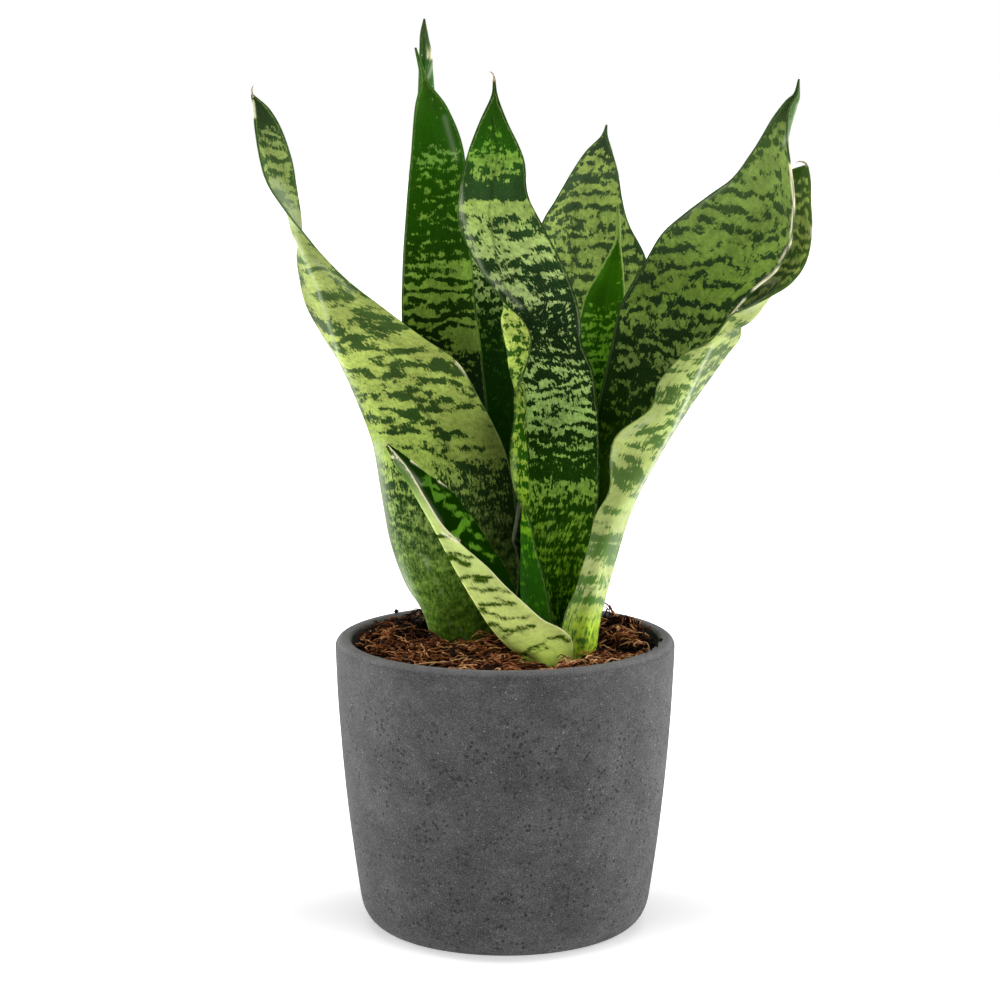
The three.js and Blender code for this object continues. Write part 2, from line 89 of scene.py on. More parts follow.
# How far each blade has leaned back, or forward where negative, LEAN_HEIGHT above the soil, and
# the slot that its finish takes.
LEAN_HEIGHT = 250
LEAN_CURVE = 1.5
BLADES = {
    "leaf_left_twisted": (-20, "leaf_pale"),
    "leaf_left_back": (12, "leaf_dark"),
    "leaf_tall_back": (24, "leaf_dark"),
    "leaf_centre": (6, "leaf_banded"),
    "leaf_right_back": (38, "leaf_banded"),
    "leaf_young": (8, "leaf_young"),
    "leaf_right": (8, "leaf_banded"),
    "leaf_right_outer": (8, "leaf_pale"),
    "leaf_front_small": (-45, "leaf_pale"),
    "sheath_small": (0, "dry_sheath"),
}

# Each blade is a list of cross-sections from its base to its tip. A cross-section holds
# [x, z, y] points from the left margin to the right one, seen from the inner face: x and z in
# the plane through the pot's axis, and y how far behind that plane the point lies.
LEAVES = {
    "leaf_left_twisted": [
        [[2, 104, 26], [-15, 98, 13], [-26, 100, 17], [-29, 104, 27]],
        [[4, 124, 25], [-17, 118, 11], [-28, 120, 15], [-31, 124, 26]],
        [[5.5, 140, 23], [-19, 135, 8], [-33, 136, 11], [-39.5, 138.5, 22]],
        [[5, 157, 21], [-20.5, 153, 6], [-37, 153, 9], [-45.3, 155, 20]],
        [[3.5, 178, 19], [-21, 175, 5], [-40, 174, 8], [-48.9, 175, 18]],
        [[-1.2, 194.6, 17], [-24, 195, 4], [-43, 195, 7], [-52, 194, 17]],
        [[-9.9, 212, 16], [-33, 212, 4], [-50, 212, 7], [-58.5, 212, 16]],
        [[-18.7, 226.7, 15], [-43, 227, 4], [-60, 226, 6], [-65, 227, 15]],
        [[-31.3, 235.6, 14], [-53, 238, 4], [-66, 236.5, 5], [-71, 236.5, 15]],
        [[-44.5, 245.5, 12], [-62, 249, 4], [-71, 250.5, 5], [-77.5, 248.5, 15]],
        [[-60, 257.5, 9], [-70.5, 261, 4], [-75, 260.5, 6], [-80.3, 260, 15]],
        [[-70.7, 268.2, 6], [-76, 269.5, 5], [-78.4, 269.5, 8], [-81, 269, 15]],
        [[-78.7, 277.6, 4], [-81.8, 277.5, 8], [-81.5, 277, 12], [-79.5, 276.5, 17]],
        [[-85.6, 286.5, 3], [-84.5, 287, 11], [-82, 287, 15], [-79.6, 285, 18]],
        [[-92, 296.1, 4], [-89, 296.5, 12], [-85, 297, 16], [-81.1, 297, 16]],
        [[-95.1, 306, 6], [-92, 306, 13], [-88, 306, 15], [-82.7, 306, 13]],
        [[-96.7, 317, 8], [-94, 317, 13], [-90.5, 317, 14], [-86.4, 317, 12]],
        [[-97.2, 325, 8], [-96, 325, 11], [-94, 325, 12], [-91, 325, 11]],
        [[-98.2, 330.5, 9], [-97.9, 330.7, 9.4], [-97.6, 330.8, 9.5], [-97.2, 330.5, 9.2]],
    ],
    "leaf_left_back": [
        [[-26, 104, 28], [-15, 104, 37], [-4, 104, 30]],
        [[-30, 135, 28], [-17, 135, 38], [-4, 135, 29]],
        [[-36, 175, 27], [-20, 175, 38], [-5, 175, 28]],
        [[-39.5, 215, 27], [-23, 215, 38], [-7.5, 215, 27]],
        [[-40.5, 250, 27], [-25.5, 250, 37], [-11.5, 250, 27]],
        [[-39, 280, 28], [-26, 280, 37], [-14, 280, 28]],
        [[-36.5, 308, 29], [-26.5, 308, 36], [-15.8, 308, 29]],
        [[-35, 325, 30], [-28.5, 325, 35], [-22, 325, 31]],
        [[-32.8, 336, 32], [-31.2, 336, 34], [-30, 336, 32.5]],
        [[-34.9, 348.5, 32], [-34.6, 348.6, 32.5], [-34.2, 348.5, 32]],
    ],
    "leaf_tall_back": [
        [[-10, 104, 38], [-2, 104, 46], [6, 104, 46], [13, 104, 39]],
        [[-14, 140, 39], [-5, 140, 48], [4, 140, 48], [11, 140, 40]],
        [[-20, 180, 41], [-9, 180, 50], [1, 180, 50], [7, 180, 41]],
        [[-25, 220, 42], [-13, 220, 51], [-4, 220, 51], [4, 220, 42]],
        [[-29, 255, 43], [-18, 255, 51], [-9, 255, 51], [-1, 255, 43]],
        [[-32, 285, 44], [-24, 285, 51], [-16, 285, 51], [-9, 285, 44]],
        [[-34, 310, 45], [-28, 310, 50], [-22, 310, 50], [-18, 310, 45]],
        [[-33.9, 324, 46], [-30.5, 324, 49.5], [-27, 324, 48], [-26, 324, 44]],
        [[-33.3, 338, 47], [-31.3, 338, 49], [-28.6, 338, 47], [-30.6, 338, 44]],
        [[-33, 346, 47], [-31.1, 346, 48.5], [-29.1, 346, 47], [-29.3, 346, 45]],
        [[-32.6, 353.5, 47], [-31.6, 353.5, 48], [-30.6, 353.5, 47.6], [-30.4, 353.5, 46.5]],
        [[-31.4, 359.5, 47], [-31.2, 359.6, 47.4], [-31, 359.6, 47.3], [-30.8, 359.5, 47]],
    ],
    "leaf_centre": [
        [[17, 100, -8], [9, 100, -2], [18, 100, 9], [29, 100, -2]],
        [[19, 121, -8], [8.5, 121, -1], [18, 121, 10], [29.5, 121, -1]],
        [[16, 139, -6], [7, 139, 0], [17, 139, 11], [31.5, 139, 0]],
        [[12.3, 153, -4], [7.2, 153, 1], [17, 153, 12], [34, 153, 1]],
        [[9.7, 164, -1], [7.6, 164, 4], [18, 164, 12], [36, 164, 2]],
        [[4, 175, 1], [10, 175, 7], [20, 175, 12], [37, 175, 3]],
        [[1.8, 190, 2], [8.7, 190, 8], [21, 190, 12.5], [37.3, 190, 4]],
        [[3.5, 204, 2], [8, 204, 8], [21, 204, 13], [36.8, 204, 5]],
        [[4, 214, 0], [6.5, 214, 7], [20, 214, 13], [35.8, 214, 6]],
        [[7.8, 223, -1], [3, 223, 5], [18, 223, 13], [34.5, 223, 7]],
        [[10.5, 234, -1], [1, 234, 5], [16, 234, 13.5], [30.2, 234, 8]],
        [[7.3, 243, 1], [-0.5, 243, 7], [14, 243, 14], [29.6, 243, 8.5]],
        [[-2, 252, 5], [1.5, 252, 9.5], [12, 252, 14], [27.7, 252, 9]],
        [[-11, 265, 8], [-2.5, 265, 12], [8, 265, 15], [22.5, 265, 9.5]],
        [[-18, 280, 9], [-9, 280, 13], [1, 280, 15.5], [14.8, 280, 10]],
        [[-17.8, 292, 10], [-10, 292, 13.5], [-2, 292, 15.5], [9, 292, 11]],
        [[-15.2, 306, 11], [-9, 306, 14], [-3, 306, 15], [7.3, 306, 12]],
        [[-10, 320, 12], [-6.8, 320, 13.8], [-3.6, 320, 14.5], [1, 320, 12.5]],
        [[-5.3, 330, 13], [-4.6, 330, 13.8], [-3.9, 330, 13.8], [-2.9, 330, 13]],
        [[-4.7, 336.5, 13], [-4.5, 336.6, 13.4], [-4.1, 336.6, 13.4], [-3.8, 336.5, 13]],
    ],
    "leaf_right_back": [
        [[14, 104, 37], [22, 104, 45], [31, 104, 38]],
        [[13, 140, 37], [24, 140, 48], [36, 140, 38]],
        [[10, 180, 38], [26, 180, 50], [44, 180, 39]],
        [[8, 215, 39], [29, 215, 52], [51, 215, 40]],
        [[8, 245, 40], [31, 245, 53], [56, 245, 41]],
        [[10, 265, 41], [32.5, 265, 53], [55.6, 265, 42]],
        [[14, 280.5, 42], [33, 280.5, 52], [48.3, 280.5, 43]],
        [[19.4, 290, 43], [34, 290, 51], [45.6, 290, 44]],
        [[25, 299.6, 44], [35.5, 300, 50], [44, 300, 45]],
        [[31, 308.5, 46], [37, 308.5, 49.5], [41.5, 308.5, 46]],
        [[37.4, 314.8, 48], [38.5, 315, 48.7], [39.6, 314.8, 48]],
        [[38.9, 319, 48.5], [39.2, 319.1, 48.8], [39.5, 319, 48.5]],
    ],
    "leaf_young": [
        [[24, 104, 27], [29, 104, 33], [34.5, 104, 28]],
        [[24, 140, 26], [31, 140, 33], [39.5, 140, 27]],
        [[24, 180, 25], [34, 180, 33], [44.5, 180, 26]],
        [[26, 220, 25], [36.5, 220, 33], [47, 220, 26]],
        [[30.3, 249.5, 26], [39, 249.5, 32], [46.8, 250, 26.5]],
        [[36.8, 262.3, 27], [41.5, 262.3, 31], [46, 262.3, 27.5]],
        [[43, 275, 29], [43.9, 275, 30.5], [44.8, 275, 29]],
        [[43.4, 288, 29.5], [43.8, 288.1, 30], [44.2, 288, 29.5]],
    ],
    "leaf_right": [
        [[20.5, 104, 16], [25, 103, 22], [29, 103, 20], [32, 104, 13]],
        [[25, 140, 15], [29, 139, 21], [34, 137, 18], [37, 136, 9]],
        [[30, 178, 12], [36, 174, 19], [42, 168, 14], [45, 164, 3]],
        [[36, 208, 11], [45, 201, 18], [52, 193, 13], [54, 186, -2]],
        [[41, 231, 12], [51, 222, 18], [60, 212, 12], [63, 203, -4]],
        [[45, 249, 13], [57, 238, 19], [68, 226, 12], [71, 218, -4]],
        [[54.7, 266.5, 14], [66, 254, 19], [76, 240, 11], [79, 231, -4]],
        [[61, 277, 14], [73, 265, 18], [84, 252, 11], [87.5, 243.5, -5]],
        [[69.4, 284.6, 14], [80, 275, 17], [91, 262, 10], [97, 254.7, -7]],
        [[79, 291.8, 13], [88, 284, 17], [98.5, 272, 10], [106, 262.5, -6]],
        [[88.3, 298.8, 12], [96, 293, 15], [104.5, 283, 9], [111.3, 273, -4]],
        [[94.9, 307.7, 11], [101, 303, 14], [107.5, 297, 9], [112.5, 288.5, -1]],
        [[99.5, 315, 10], [103, 312, 12.5], [107.5, 308.5, 9], [110.6, 304, 2]],
        [[103.6, 322, 9], [106.5, 319.5, 11], [109.2, 317, 9], [108.9, 315, 5]],
        [[108.4, 328.2, 8], [110, 326.5, 9.5], [112, 326.5, 8], [109.5, 325, 5]],
        [[111.6, 331, 7], [112.4, 331, 8], [113.1, 331, 7.5], [112.6, 331, 6]],
        [[113.1, 336.5, 6.5], [113.3, 336.6, 7], [113.6, 336.6, 6.9], [113.5, 336.5, 6.4]],
    ],
    "leaf_right_outer": [
        [[34.8, 94, -11], [30, 91, -21], [22, 95, -13]],
        [[37.2, 120, -9], [31, 119, -20], [23, 122, -13]],
        [[40.6, 136, -5], [34.5, 136, -18], [28, 136, -14]],
        [[44.7, 151, 0], [38.5, 152, -17], [32.6, 152, -15]],
        [[48.6, 164.5, 2], [43.5, 166, -16], [35.4, 165, -15]],
        [[53.9, 176.5, 4], [49.5, 176, -14], [41, 176, -16]],
        [[60.2, 188.5, 5], [56, 188, -13], [41.3, 190, -17]],
        [[66, 198.5, 6], [61.5, 198, -13], [44.5, 198.6, -17]],
        [[72.2, 208.5, 6], [66.5, 208.5, -13], [57, 208.4, -16]],
        [[79.5, 219, 7], [72, 219, -12], [60.3, 219, -15]],
        [[86.5, 229, 8], [77.5, 229, -11], [69.7, 229.5, -14]],
        [[92, 237, 10], [84, 237, -8], [80, 235, -13]],
        [[91, 246, 13], [95.2, 243.2, 0], [88, 244.8, -12]],
        [[93, 252.5, 17], [101, 250.2, 4], [95, 248.1, -11]],
        [[97.5, 265, 20], [105, 257.5, 9], [103.8, 252.6, -9]],
        [[99, 275, 22], [110, 266, 12], [111.5, 257.6, -7]],
        [[101.5, 284, 22], [113, 275, 13], [117, 265.5, -4]],
        [[104, 291.5, 20], [114.5, 283.5, 13], [119.2, 277, -1]],
        [[107.5, 298, 18], [115, 292, 12], [118.7, 289.5, 2]],
        [[111, 301.7, 14], [115.5, 299, 11], [118.6, 297, 4]],
        [[115.8, 303.4, 10], [116.6, 303.4, 9], [117.6, 303, 7.5]],
    ],
    "leaf_front_small": [
        [[26, 98, -22], [14, 91, -34], [4, 99, -19]],
        [[27, 113.5, -22], [13, 107, -34.5], [6, 118, -17]],
        [[23, 119.5, -26], [3, 112.5, -35], [7, 127, -17]],
        [[15, 123.8, -30], [-5, 121, -36], [3, 137, -18]],
        [[7, 131, -33], [-11.5, 131.5, -36], [-1, 146, -19]],
        [[0, 137.5, -34], [-16.5, 140, -36], [-6, 154, -20]],
        [[-7, 145, -35], [-21.5, 149.5, -36], [-11, 162, -22]],
        [[-17, 153.8, -35], [-26, 158.5, -35], [-17.5, 171, -24]],
        [[-24.5, 161.2, -36], [-30.5, 167.5, -35], [-24, 178, -27]],
        [[-31, 171.8, -37], [-35.5, 176, -36], [-31, 182.6, -31]],
        [[-38.5, 184.7, -38], [-41, 184.5, -37.5], [-37.5, 188.2, -35]],
        [[-45.9, 193.8, -39], [-46.9, 193.3, -39], [-46, 194.3, -38.5]],
    ],
    "sheath_small": [
        [[9, 104, 12], [12, 104, 15], [15, 104, 15]],
        [[8, 130, 12], [10.5, 130, 15], [13, 130, 15]],
        [[4.8, 150, 11], [8, 149, 14.5], [11, 148, 15]],
        [[2.9, 156, 10], [6.5, 157, 13.5], [9.5, 158, 14.5]],
        [[4.2, 164, 11], [6.2, 165, 13.5], [8.5, 166, 14]],
        [[5.3, 172, 12], [5.8, 172.3, 12.6], [6.3, 172, 12.6]],
    ],
}

# What is painted on each blade, in the same x and z. It shows on both faces, but one face may
# have a "ground" and "strokes" of its own, named outer_ or inner_.
# - "ground": how dark the blade is at a height, as (z, share of dark).
# - "rolled": the seam of a margin that is rolled forward, as (z, x). Left of it the inner face
#   has the outer one's colours.
# - "borders": darker margins, as (lowest z, highest z, reach inwards, darkness).
# - "strokes": bands, as (x, z, x, z, half height, strength), pale where the strength is negative.
# - "shades" where blades crowd together, pale "bloom", dark "creases", which are pressed in too,
#   and cream "scars": lines, as (x, z, x, z, half width, strength).
PAINT = {
    "leaf_left_twisted": {
        "ground": [(104, .45), (125, .5), (140, .55), (152, .6), (166, .64), (178, .6), (188, .32),
                   (197, .06), (240, .02), (280, .02), (286, .25), (300, .3), (317, .4), (322, 1.3),
                   (335, 1.6)],
        "borders": [(104, 190, 5, 2), (200, 235, 4, 2.0), (235, 330, 2.5, 2)],
        "strokes": [
            (-82, 268, -80, 266, 1.5, 1), (-81, 261, -79, 260, 1.6, 1), (-76, 263, -72, 262.5, .8, .8),
            (-72, 264, -66, 264.5, 1, .8), (-66, 261, -60, 258, 1.2, .8), (-64, 259, -57, 255, 1.4, 1),
            (-70, 252, -62, 252, 2.2, 1), (-62, 254, -55, 253, 1.2, .9), (-75, 245, -70, 241, 2.4, 1),
            (-56, 245, -46, 243, 2.6, 1), (-49, 243, -42, 240, 2.2, 1), (-54, 241, -46, 240, 1.5, .9),
            (-64, 238, -58, 235, 2, 1), (-60, 237, -50, 236, 1.8, 1), (-59, 234, -51, 233, 1.5, 1),
            (-68, 239, -64, 236, 1.4, .8), (-66, 233, -61, 231, 1.2, .8), (-50, 229, -43, 229.5, 1, 1),
            (-41, 231, -34, 232, 1.3, 1), (-34, 233, -29, 234, .8, .9), (-51, 227, -46, 226, 1.1, 1),
            (-41, 225, -33, 226, 1.4, 1), (-40, 226, -38, 220, 1.2, 1), (-59, 223, -54, 222, 1.4, 1),
            (-45, 222, -40, 221.5, 1.2, 1), (-27, 226, -20, 222, 2.3, 1),
            (-35, 220, -25, 219.5, 1.5, 1), (-47, 219, -42, 219, 1.1, .9),
            (-58, 214, -51, 213.5, 1.7, 1), (-42, 214, -34, 212, 1.7, 1), (-38, 216, -33, 213, 1.2, .9),
            (-35, 211, -22, 211, 1.6, 1), (-20, 218, -15, 213, 1.8, 1), (-30, 213, -15, 209, 1.4, 1),
            (-54, 205, -46, 204, 2.2, 1), (-47, 208, -42, 207, .8, .8), (-37, 206, -30, 203, 2.3, 1),
            (-33, 207, -26, 208, 1.2, .9), (-43, 201, -37, 203, 1.8, 1), (-45, 200, -36, 200, 1.2, .9),
            (-26, 200, -24.5, 197, 1.5, 1), (-25.5, 196, -24, 192, 1.2, 1),
            (-31, 194, -29, 192, 1.1, .8), (-21, 199, -16, 197, .9, .9), (-24, 190, -21, 186, 1.2, .9),
            (-16, 193, -10, 192, 1, .8), (-19, 186, -8, 184, 2.2, .8), (-44, 194, -38, 193, .7, .7),
            (-94, 311, -84, 310, 1.5, .7), (-93, 302, -89, 300, 1.2, .7), (-96, 318, -95, 318, 2, .7),
            (-95, 303, -92, 292, 3, .8), (-92, 290, -86, 289, 1.5, .8), (-91, 306, -86, 306, 1, .7),
            (-92, 314, -88, 315, .9, .8),
        ],
        "shades": [(-6, 200, -4, 110, 11, .6), (-82, 262, -68, 228, 3, .35), (-68, 228, -56, 200, 3, .25)],
        "bloom_and_highlight": [
            (-81.3, 277.2, -72.9, 256.5, .7, .5), (-72.9, 256.5, -63.8, 227.1, .7, .65),
            (-63.8, 227.1, -56, 208, .9, .5), (-90, 296, -80.5, 281, 2.2, .6),
            (-51, 193, -46.5, 152, 2.6, .9), (-46.5, 152, -34, 128, 2.6, .75),
            (-34, 128, -28, 114, 1.8, .5), (-74, 266, -60, 254, 1.2, .35),
            (-34, 152, -30, 146, .25, .7), (-31, 150, -29, 142, .2, .6), (-37, 160, -36, 154, .3, .5),
            (-27, 140, -24, 133, .25, .6), (-22, 128, -21.5, 122, .25, .5),
            (-19, 122, -16, 116, .25, .5),
        ],
        "creases": [(-41, 225, -20, 188, .35, .9)],
        "scars": [(-18.7, 226.7, -14.3, 221.7, .6, 1), (-97.5, 328, -97, 322, .3, .7)],
    },
    "leaf_left_back": {
        "ground": [(104, .95), (200, .95), (222, .85), (228, .6), (234, .85), (238, .8), (242, .55),
                   (248, .42), (258, .42), (264, .5), (268, .66), (273, .8), (298, .8), (303, .6),
                   (308, .45), (311, .8), (313, 1), (350, 1)],
        "borders": [(215, 320, 4, 2.5)],
        "strokes": [
            (-27, 256, -18, 259, 1.2, .7), (-26, 244, -14, 248, 3.5, .6), (-36, 262, -30, 262, 1.5, .3),
            (-38, 249, -30, 250, 3, -.3), (-31, 264, -20, 252, 2, -.2), (-22, 236, -12, 228, 4, .4),
            (-14, 262, -11, 262, 8, -.3), (-13, 236, -10, 236, 12, -.3),
        ],
        "shades": [(-12, 232, -12, 200, 12, .35)],
        "bloom_and_highlight": [(-37.8, 318, -40.5, 255, .45, .55), (-23, 322, -18.5, 306, 1, .35)],
    },
    "leaf_tall_back": {
        "ground": [(104, 1), (222, .97), (230, .8), (240, .76), (247, .5), (266, .45), (272, .95),
                   (320, 1), (336, .85), (342, .95), (360, .95)],
        "borders": [(215, 270, 4, 2)],
        "bloom_and_highlight": [(-28.2, 344, -30, 337, .5, .8)],
        "scars": [(-28.3, 350, -28.9, 345, .7, 1)],
    },
    "leaf_centre": {
        "ground": [(104, .9), (120, .7), (135, .67), (158, .65), (164, .74), (171, .68), (174, .4),
                   (179, .42), (181.5, 1), (185.5, .9), (187.5, .72), (196, .72), (199, .5), (203, .38),
                   (213, .38), (216, .52), (222, .62), (228, .72), (232, .8), (246, .78), (250, .66),
                   (258, .52), (262, .45), (266, .3), (272, .2), (276, .35), (283, .35), (285, .12),
                   (289, .02), (290.5, 1.1), (295.5, 1.1), (297, .7), (300, .62), (302, .4), (303.5, .4),
                   (306, .25), (308, .5), (316, .55), (321, .7), (324, 1), (337, 1.4)],
        "outer_ground": [(104, .95), (148, .9), (155, .55), (168, .3), (180, .2), (200, .15), (260, .15)],
        "rolled": [(168, 8.4), (176, 9.4), (184, 8.7), (192, 8.2), (204, 7.4), (214, 7.2), (219, 6.8)],
        "borders": [(186, 290, 3, 2), (297, 308, 3.5, 3), (308, 334, 6, 5)],
        "strokes": [
            (-16, 276, -10, 274, 2, .7), (-14, 265, -9, 263, 3, .9), (-4, 281, 3, 283, 1.5, .7),
            (4, 277, 14, 279, 2.4, .7), (-3, 274, 4, 275, 1, .4), (-5, 267, 3, 265, 2, .7),
            (3, 266, 8, 268, 1.2, .5), (8, 268, 14, 271, 1.5, .6), (10, 262, 22, 266, 3, .6),
            (12, 255, 26, 258, 4, .5), (0, 256, 8, 252, 4, -.3), (0, 270, 1, 270, .8, .9),
            (-15, 283, -10, 282, 1.2, .4), (1, 238, 5, 236, 2.5, .5),
        ],
        "outer_strokes": [
            (3, 209, 5, 209, 1.2, 1), (6, 205, 7, 205, 2, 1), (4, 201, 5, 201, 1.6, 1),
            (7, 197, 8, 197, 2.4, 1), (3, 193, 4, 193, 1.2, 1), (6, 190, 7, 190, 2, 1),
            (5, 185, 6, 185, 1.5, 1), (8, 183, 9, 183, 1.8, 1), (6, 178, 7, 178, 1.4, 1),
            (9, 173, 10, 173, 1.8, 1), (2, 216, 4, 216, 1, 1), (6, 214, 8, 214, .9, .9),
            (8, 167, 9, 167, 1.4, 1), (10, 162, 11, 162, 1.6, 1), (3, 222, 6, 222, 1.2, 1),
            (1, 230, 3, 230, 1.5, 1), (6, 232, 8, 231, 1.2, 1), (7, 226, 9, 226, 1.2, 1),
            (3, 236, 6, 236, 1, 1), (1, 240, 4, 241, 1, 1),
        ],
        "bloom_and_highlight": [(-17.8, 296, -17, 284, .8, .9), (-17, 284, -9, 262, .9, .6),
                  (-9, 262, 6, 248, .8, .6), (3, 152, 3.5, 190, .8, .35), (29, 255, 29.5, 238, .6, .5)],
        "creases": [
            (-5.5, 322, -2.8, 308, .4, 1), (-2.8, 308, -6.7, 286, .4, .8),
            (-6.7, 286, -2.8, 262, .45, 1), (-2.8, 262, 2, 250, .4, .8),
            (7.2, 216, 7.6, 204, .4, .5), (7.6, 204, 8.4, 192, .4, .5), (8.4, 192, 9.6, 176, .4, .6),
        ],
    },
    "leaf_right_back": {
        "ground": [(104, .9), (230, .6), (250, .25), (300, .16), (308, .3), (312, 1), (320, 1)],
        "borders": [(225, 311, 3.5, 2.5)],
        "strokes": [
            (26, 299, 46, 298.5, 2, .95), (30, 305, 43, 304.5, .9, .6), (32, 308, 41, 307.5, .9, .6),
            (24, 292.5, 46, 292.8, .8, .6), (22, 288, 44, 286.5, 1.2, .55), (18, 284, 26, 286, 1.1, .6),
            (16, 282.5, 48, 283, 1.1, .65), (14, 279, 50, 278.5, .9, .55), (18, 275, 30, 276, 1.1, .7),
            (36, 272, 52, 271, 1.5, .8), (14, 271, 26, 270, 1.1, .6), (17, 266, 30, 265, 1.1, .7),
            (46, 267, 56, 266, 1.5, .8), (40, 262, 56, 262, 1.3, .7), (20, 260, 34, 259.5, 1.2, .7),
            (24, 254, 36, 253, 1.2, .6), (30, 248, 38, 247, 1.5, .6), (20, 290, 25, 293, 3, .4),
            (27, 288, 26.5, 262, .8, .4),
        ],
        "creases": [(27, 288, 25.5, 262, .5, 1)],
    },
    "leaf_young": {
        "ground": [(104, .95), (200, .8), (215, .62), (225, .5), (238, .5), (245, .62), (250, .95),
                   (290, 1)],
        "borders": [(200, 250, 3, 1)],
    },
    "leaf_right": {
        "ground": [(104, .95), (165, .87), (185, .75), (205, .75), (220, .68), (232, .5), (245, .34),
                   (255, .26), (265, .22), (285, .12), (300, .1), (312, .28), (322, .6), (326, 1.2),
                   (340, 1.3)],
        "borders": [(190, 325, 5, 3.2)],
        "strokes": [
            (99, 312, 107, 311, 1.2, .9), (95, 317, 103, 318, .7, .7), (86, 295, 95, 292, 1.5, .9),
            (96, 293, 101, 291, .7, .6), (78, 289, 88, 287, .9, .9), (89, 287, 93, 285, 1, .8),
            (70, 285, 80, 282, .8, .7), (88, 280, 106, 283, 1.1, .9), (104, 290, 110, 284, 1.9, .9),
            (60, 275, 70, 279, .8, .7), (82, 279, 92, 277, .7, .5), (60, 270, 76, 272, 1.1, .8),
            (96, 274, 108, 276, 1.6, .8), (66, 264, 84, 266, .9, .8), (54, 268, 64, 264, 1.2, .9),
            (48, 258, 60, 261, 1.2, .9), (70, 256, 90, 256, 1.2, .9), (60, 250, 76, 250, 1.6, 1),
            (80, 248, 92, 247, 1.2, .8), (46, 248, 56, 248, 1.6, .9), (52, 240, 70, 238, 2.2, 1),
            (74, 240, 84, 243, 1, .8), (44, 236, 56, 232, 2.2, 1), (40, 222, 58, 222, 3.1, 1),
            (108, 300, 109, 284, 1.9, .7), (100, 268, 108, 268, .9, .6),
        ],
        "bloom_and_highlight": [(112.3, 327, 108.5, 311, .5, .9), (60, 277, 88, 297, .5, .4)],
        "scars": [(110.6, 304, 112.5, 288.5, .26, 1), (112.5, 288.5, 111.3, 273, .26, 1),
                  (111.3, 273, 106, 262.5, .3, 1), (106, 262.5, 97, 254.7, .4, 1),
                  (94, 251.5, 87.5, 243.5, .35, 1)],
    },
    "leaf_right_outer": {
        "ground": [(90, .12), (104, .25), (112, .38), (124, .38), (129, .26), (134, .05), (144, -.08),
                   (200, -.04), (240, 0), (252, .2)],
        "inner_ground": [(90, .8), (230, .75), (246, .6), (280, .5), (296, .6), (300, .95), (305, 1)],
        "borders": [(94, 300, 2, 1.5)],
        "strokes": [
            (25, 133, 31, 132, 2.2, 1), (33, 133, 40, 131, 1.6, .9), (30, 139, 38, 139, 1.9, 1),
            (33, 151, 40, 150.5, 2.4, 1), (39, 153, 47, 150, 3, 1), (34, 156, 47, 156, 2, .9),
            (40, 147.5, 46, 147, 1.4, .9), (36, 163, 40, 162, .6, .7), (40, 168, 43, 168, .8, .8),
            (42, 186, 46, 177, 2.8, 1), (45, 182, 52, 180, 2, .9), (47, 176, 50, 174, 1, .8),
            (52, 184, 55, 178, 2, .9), (44, 190, 50, 188, 1, .8), (50, 193, 54, 192, .8, .8),
            (59, 197, 64, 192, 2, 1), (52, 201, 60, 201, 1.1, .9), (52, 199.5, 57, 199, .8, .8),
            (59, 197, 62, 198.5, .9, .8), (61, 213, 67, 214, 1.8, 1), (64, 216.5, 67, 215, 1.1, .9),
            (60, 213, 63, 210, 1, .9), (66, 207, 70, 205, 1.7, 1), (61, 222, 65, 224, 1.1, .9),
            (64, 226, 68, 225, .9, .8), (71, 217, 74, 211, 1.7, 1), (70, 215, 76, 214, .9, .9),
            (70, 229, 74, 228, 1, .8), (77, 223, 80, 221, 1.2, 1), (76, 226, 79, 226, 1.1, .9),
            (77, 219, 80, 219, .8, .8), (80, 231, 84, 230, 1.4, 1), (82, 227, 85, 224, 1.3, 1),
            (83, 239, 88, 238, 1.2, 1), (85, 233, 89, 231, 1.7, 1), (90, 244, 94, 242, 1.2, .8),
            (77, 230.6, 78, 230.2, 1.3, 1), (78.5, 228.4, 79.5, 228, 1.2, 1),
            (81.2, 231.4, 82.2, 230.8, 1.2, 1), (85, 232.8, 86.2, 232, 1.2, 1),
            (82.3, 223.6, 83.3, 222.8, 1, 1), (75, 223.4, 75.8, 222.8, 1.2, 1),
            (73.4, 219.6, 74.6, 219, 1.3, 1), (71.6, 216.8, 72.8, 216, 1.2, 1),
            (70.6, 214, 71.8, 213.4, 1.2, 1), (67, 207.4, 68.2, 206.8, 1.2, 1),
            (69.4, 209.8, 70.4, 209, 1, 1), (64.4, 203.6, 65.6, 202.8, 1.2, 1),
            (80.2, 226.2, 81.4, 225.4, 1.3, 1), (88.6, 238.8, 89.8, 238, 1.2, 1),
            (91.2, 241.8, 92.2, 241, .7, .9), (62.8, 198.6, 63.6, 197.8, 1.2, 1),
            (60.4, 194.6, 61.4, 193.8, 1, 1), (58.2, 189.8, 59, 189.2, 1, 1),
        ],
        "shades": [(76, 222, 100, 252, 5, .25), (54, 178, 76, 215, 3, .2), (60, 190, 91, 241, 3, .25)],
        "bloom_and_highlight": [(52, 176, 66, 202, .55, .8), (66, 202, 80.4, 234, .6, .9), (36, 172, 43, 192, 1.3, .5),
                  (46, 197, 58, 205, .8, .6), (60, 222, 66, 229.5, .9, .5), (94, 247, 98, 250, 1.2, .4)],
        "scars": [(97, 256, 106, 258, 1.2, .4), (119.6, 279, 119.8, 275.5, .7, .8)],
    },
    "leaf_front_small": {
        "ground": [(90, .05), (112, -.1), (118, -.3), (130, -.35), (180, -.3), (187, .5), (195, .9)],
        "inner_ground": [(104, 1), (185, .95), (195, 1)],
        "borders": [(91, 150, 1.5, 2)],
        "strokes": [
            (-27, 158, -22, 157, .8, .9), (-23, 151, -14, 149, .6, 1), (-21, 149, -15, 146, 1, 1),
            (-17, 141, -6, 141, .8, 1), (-12, 140, -8, 139.5, .8, 1), (-13, 137, -9, 135, .6, 1),
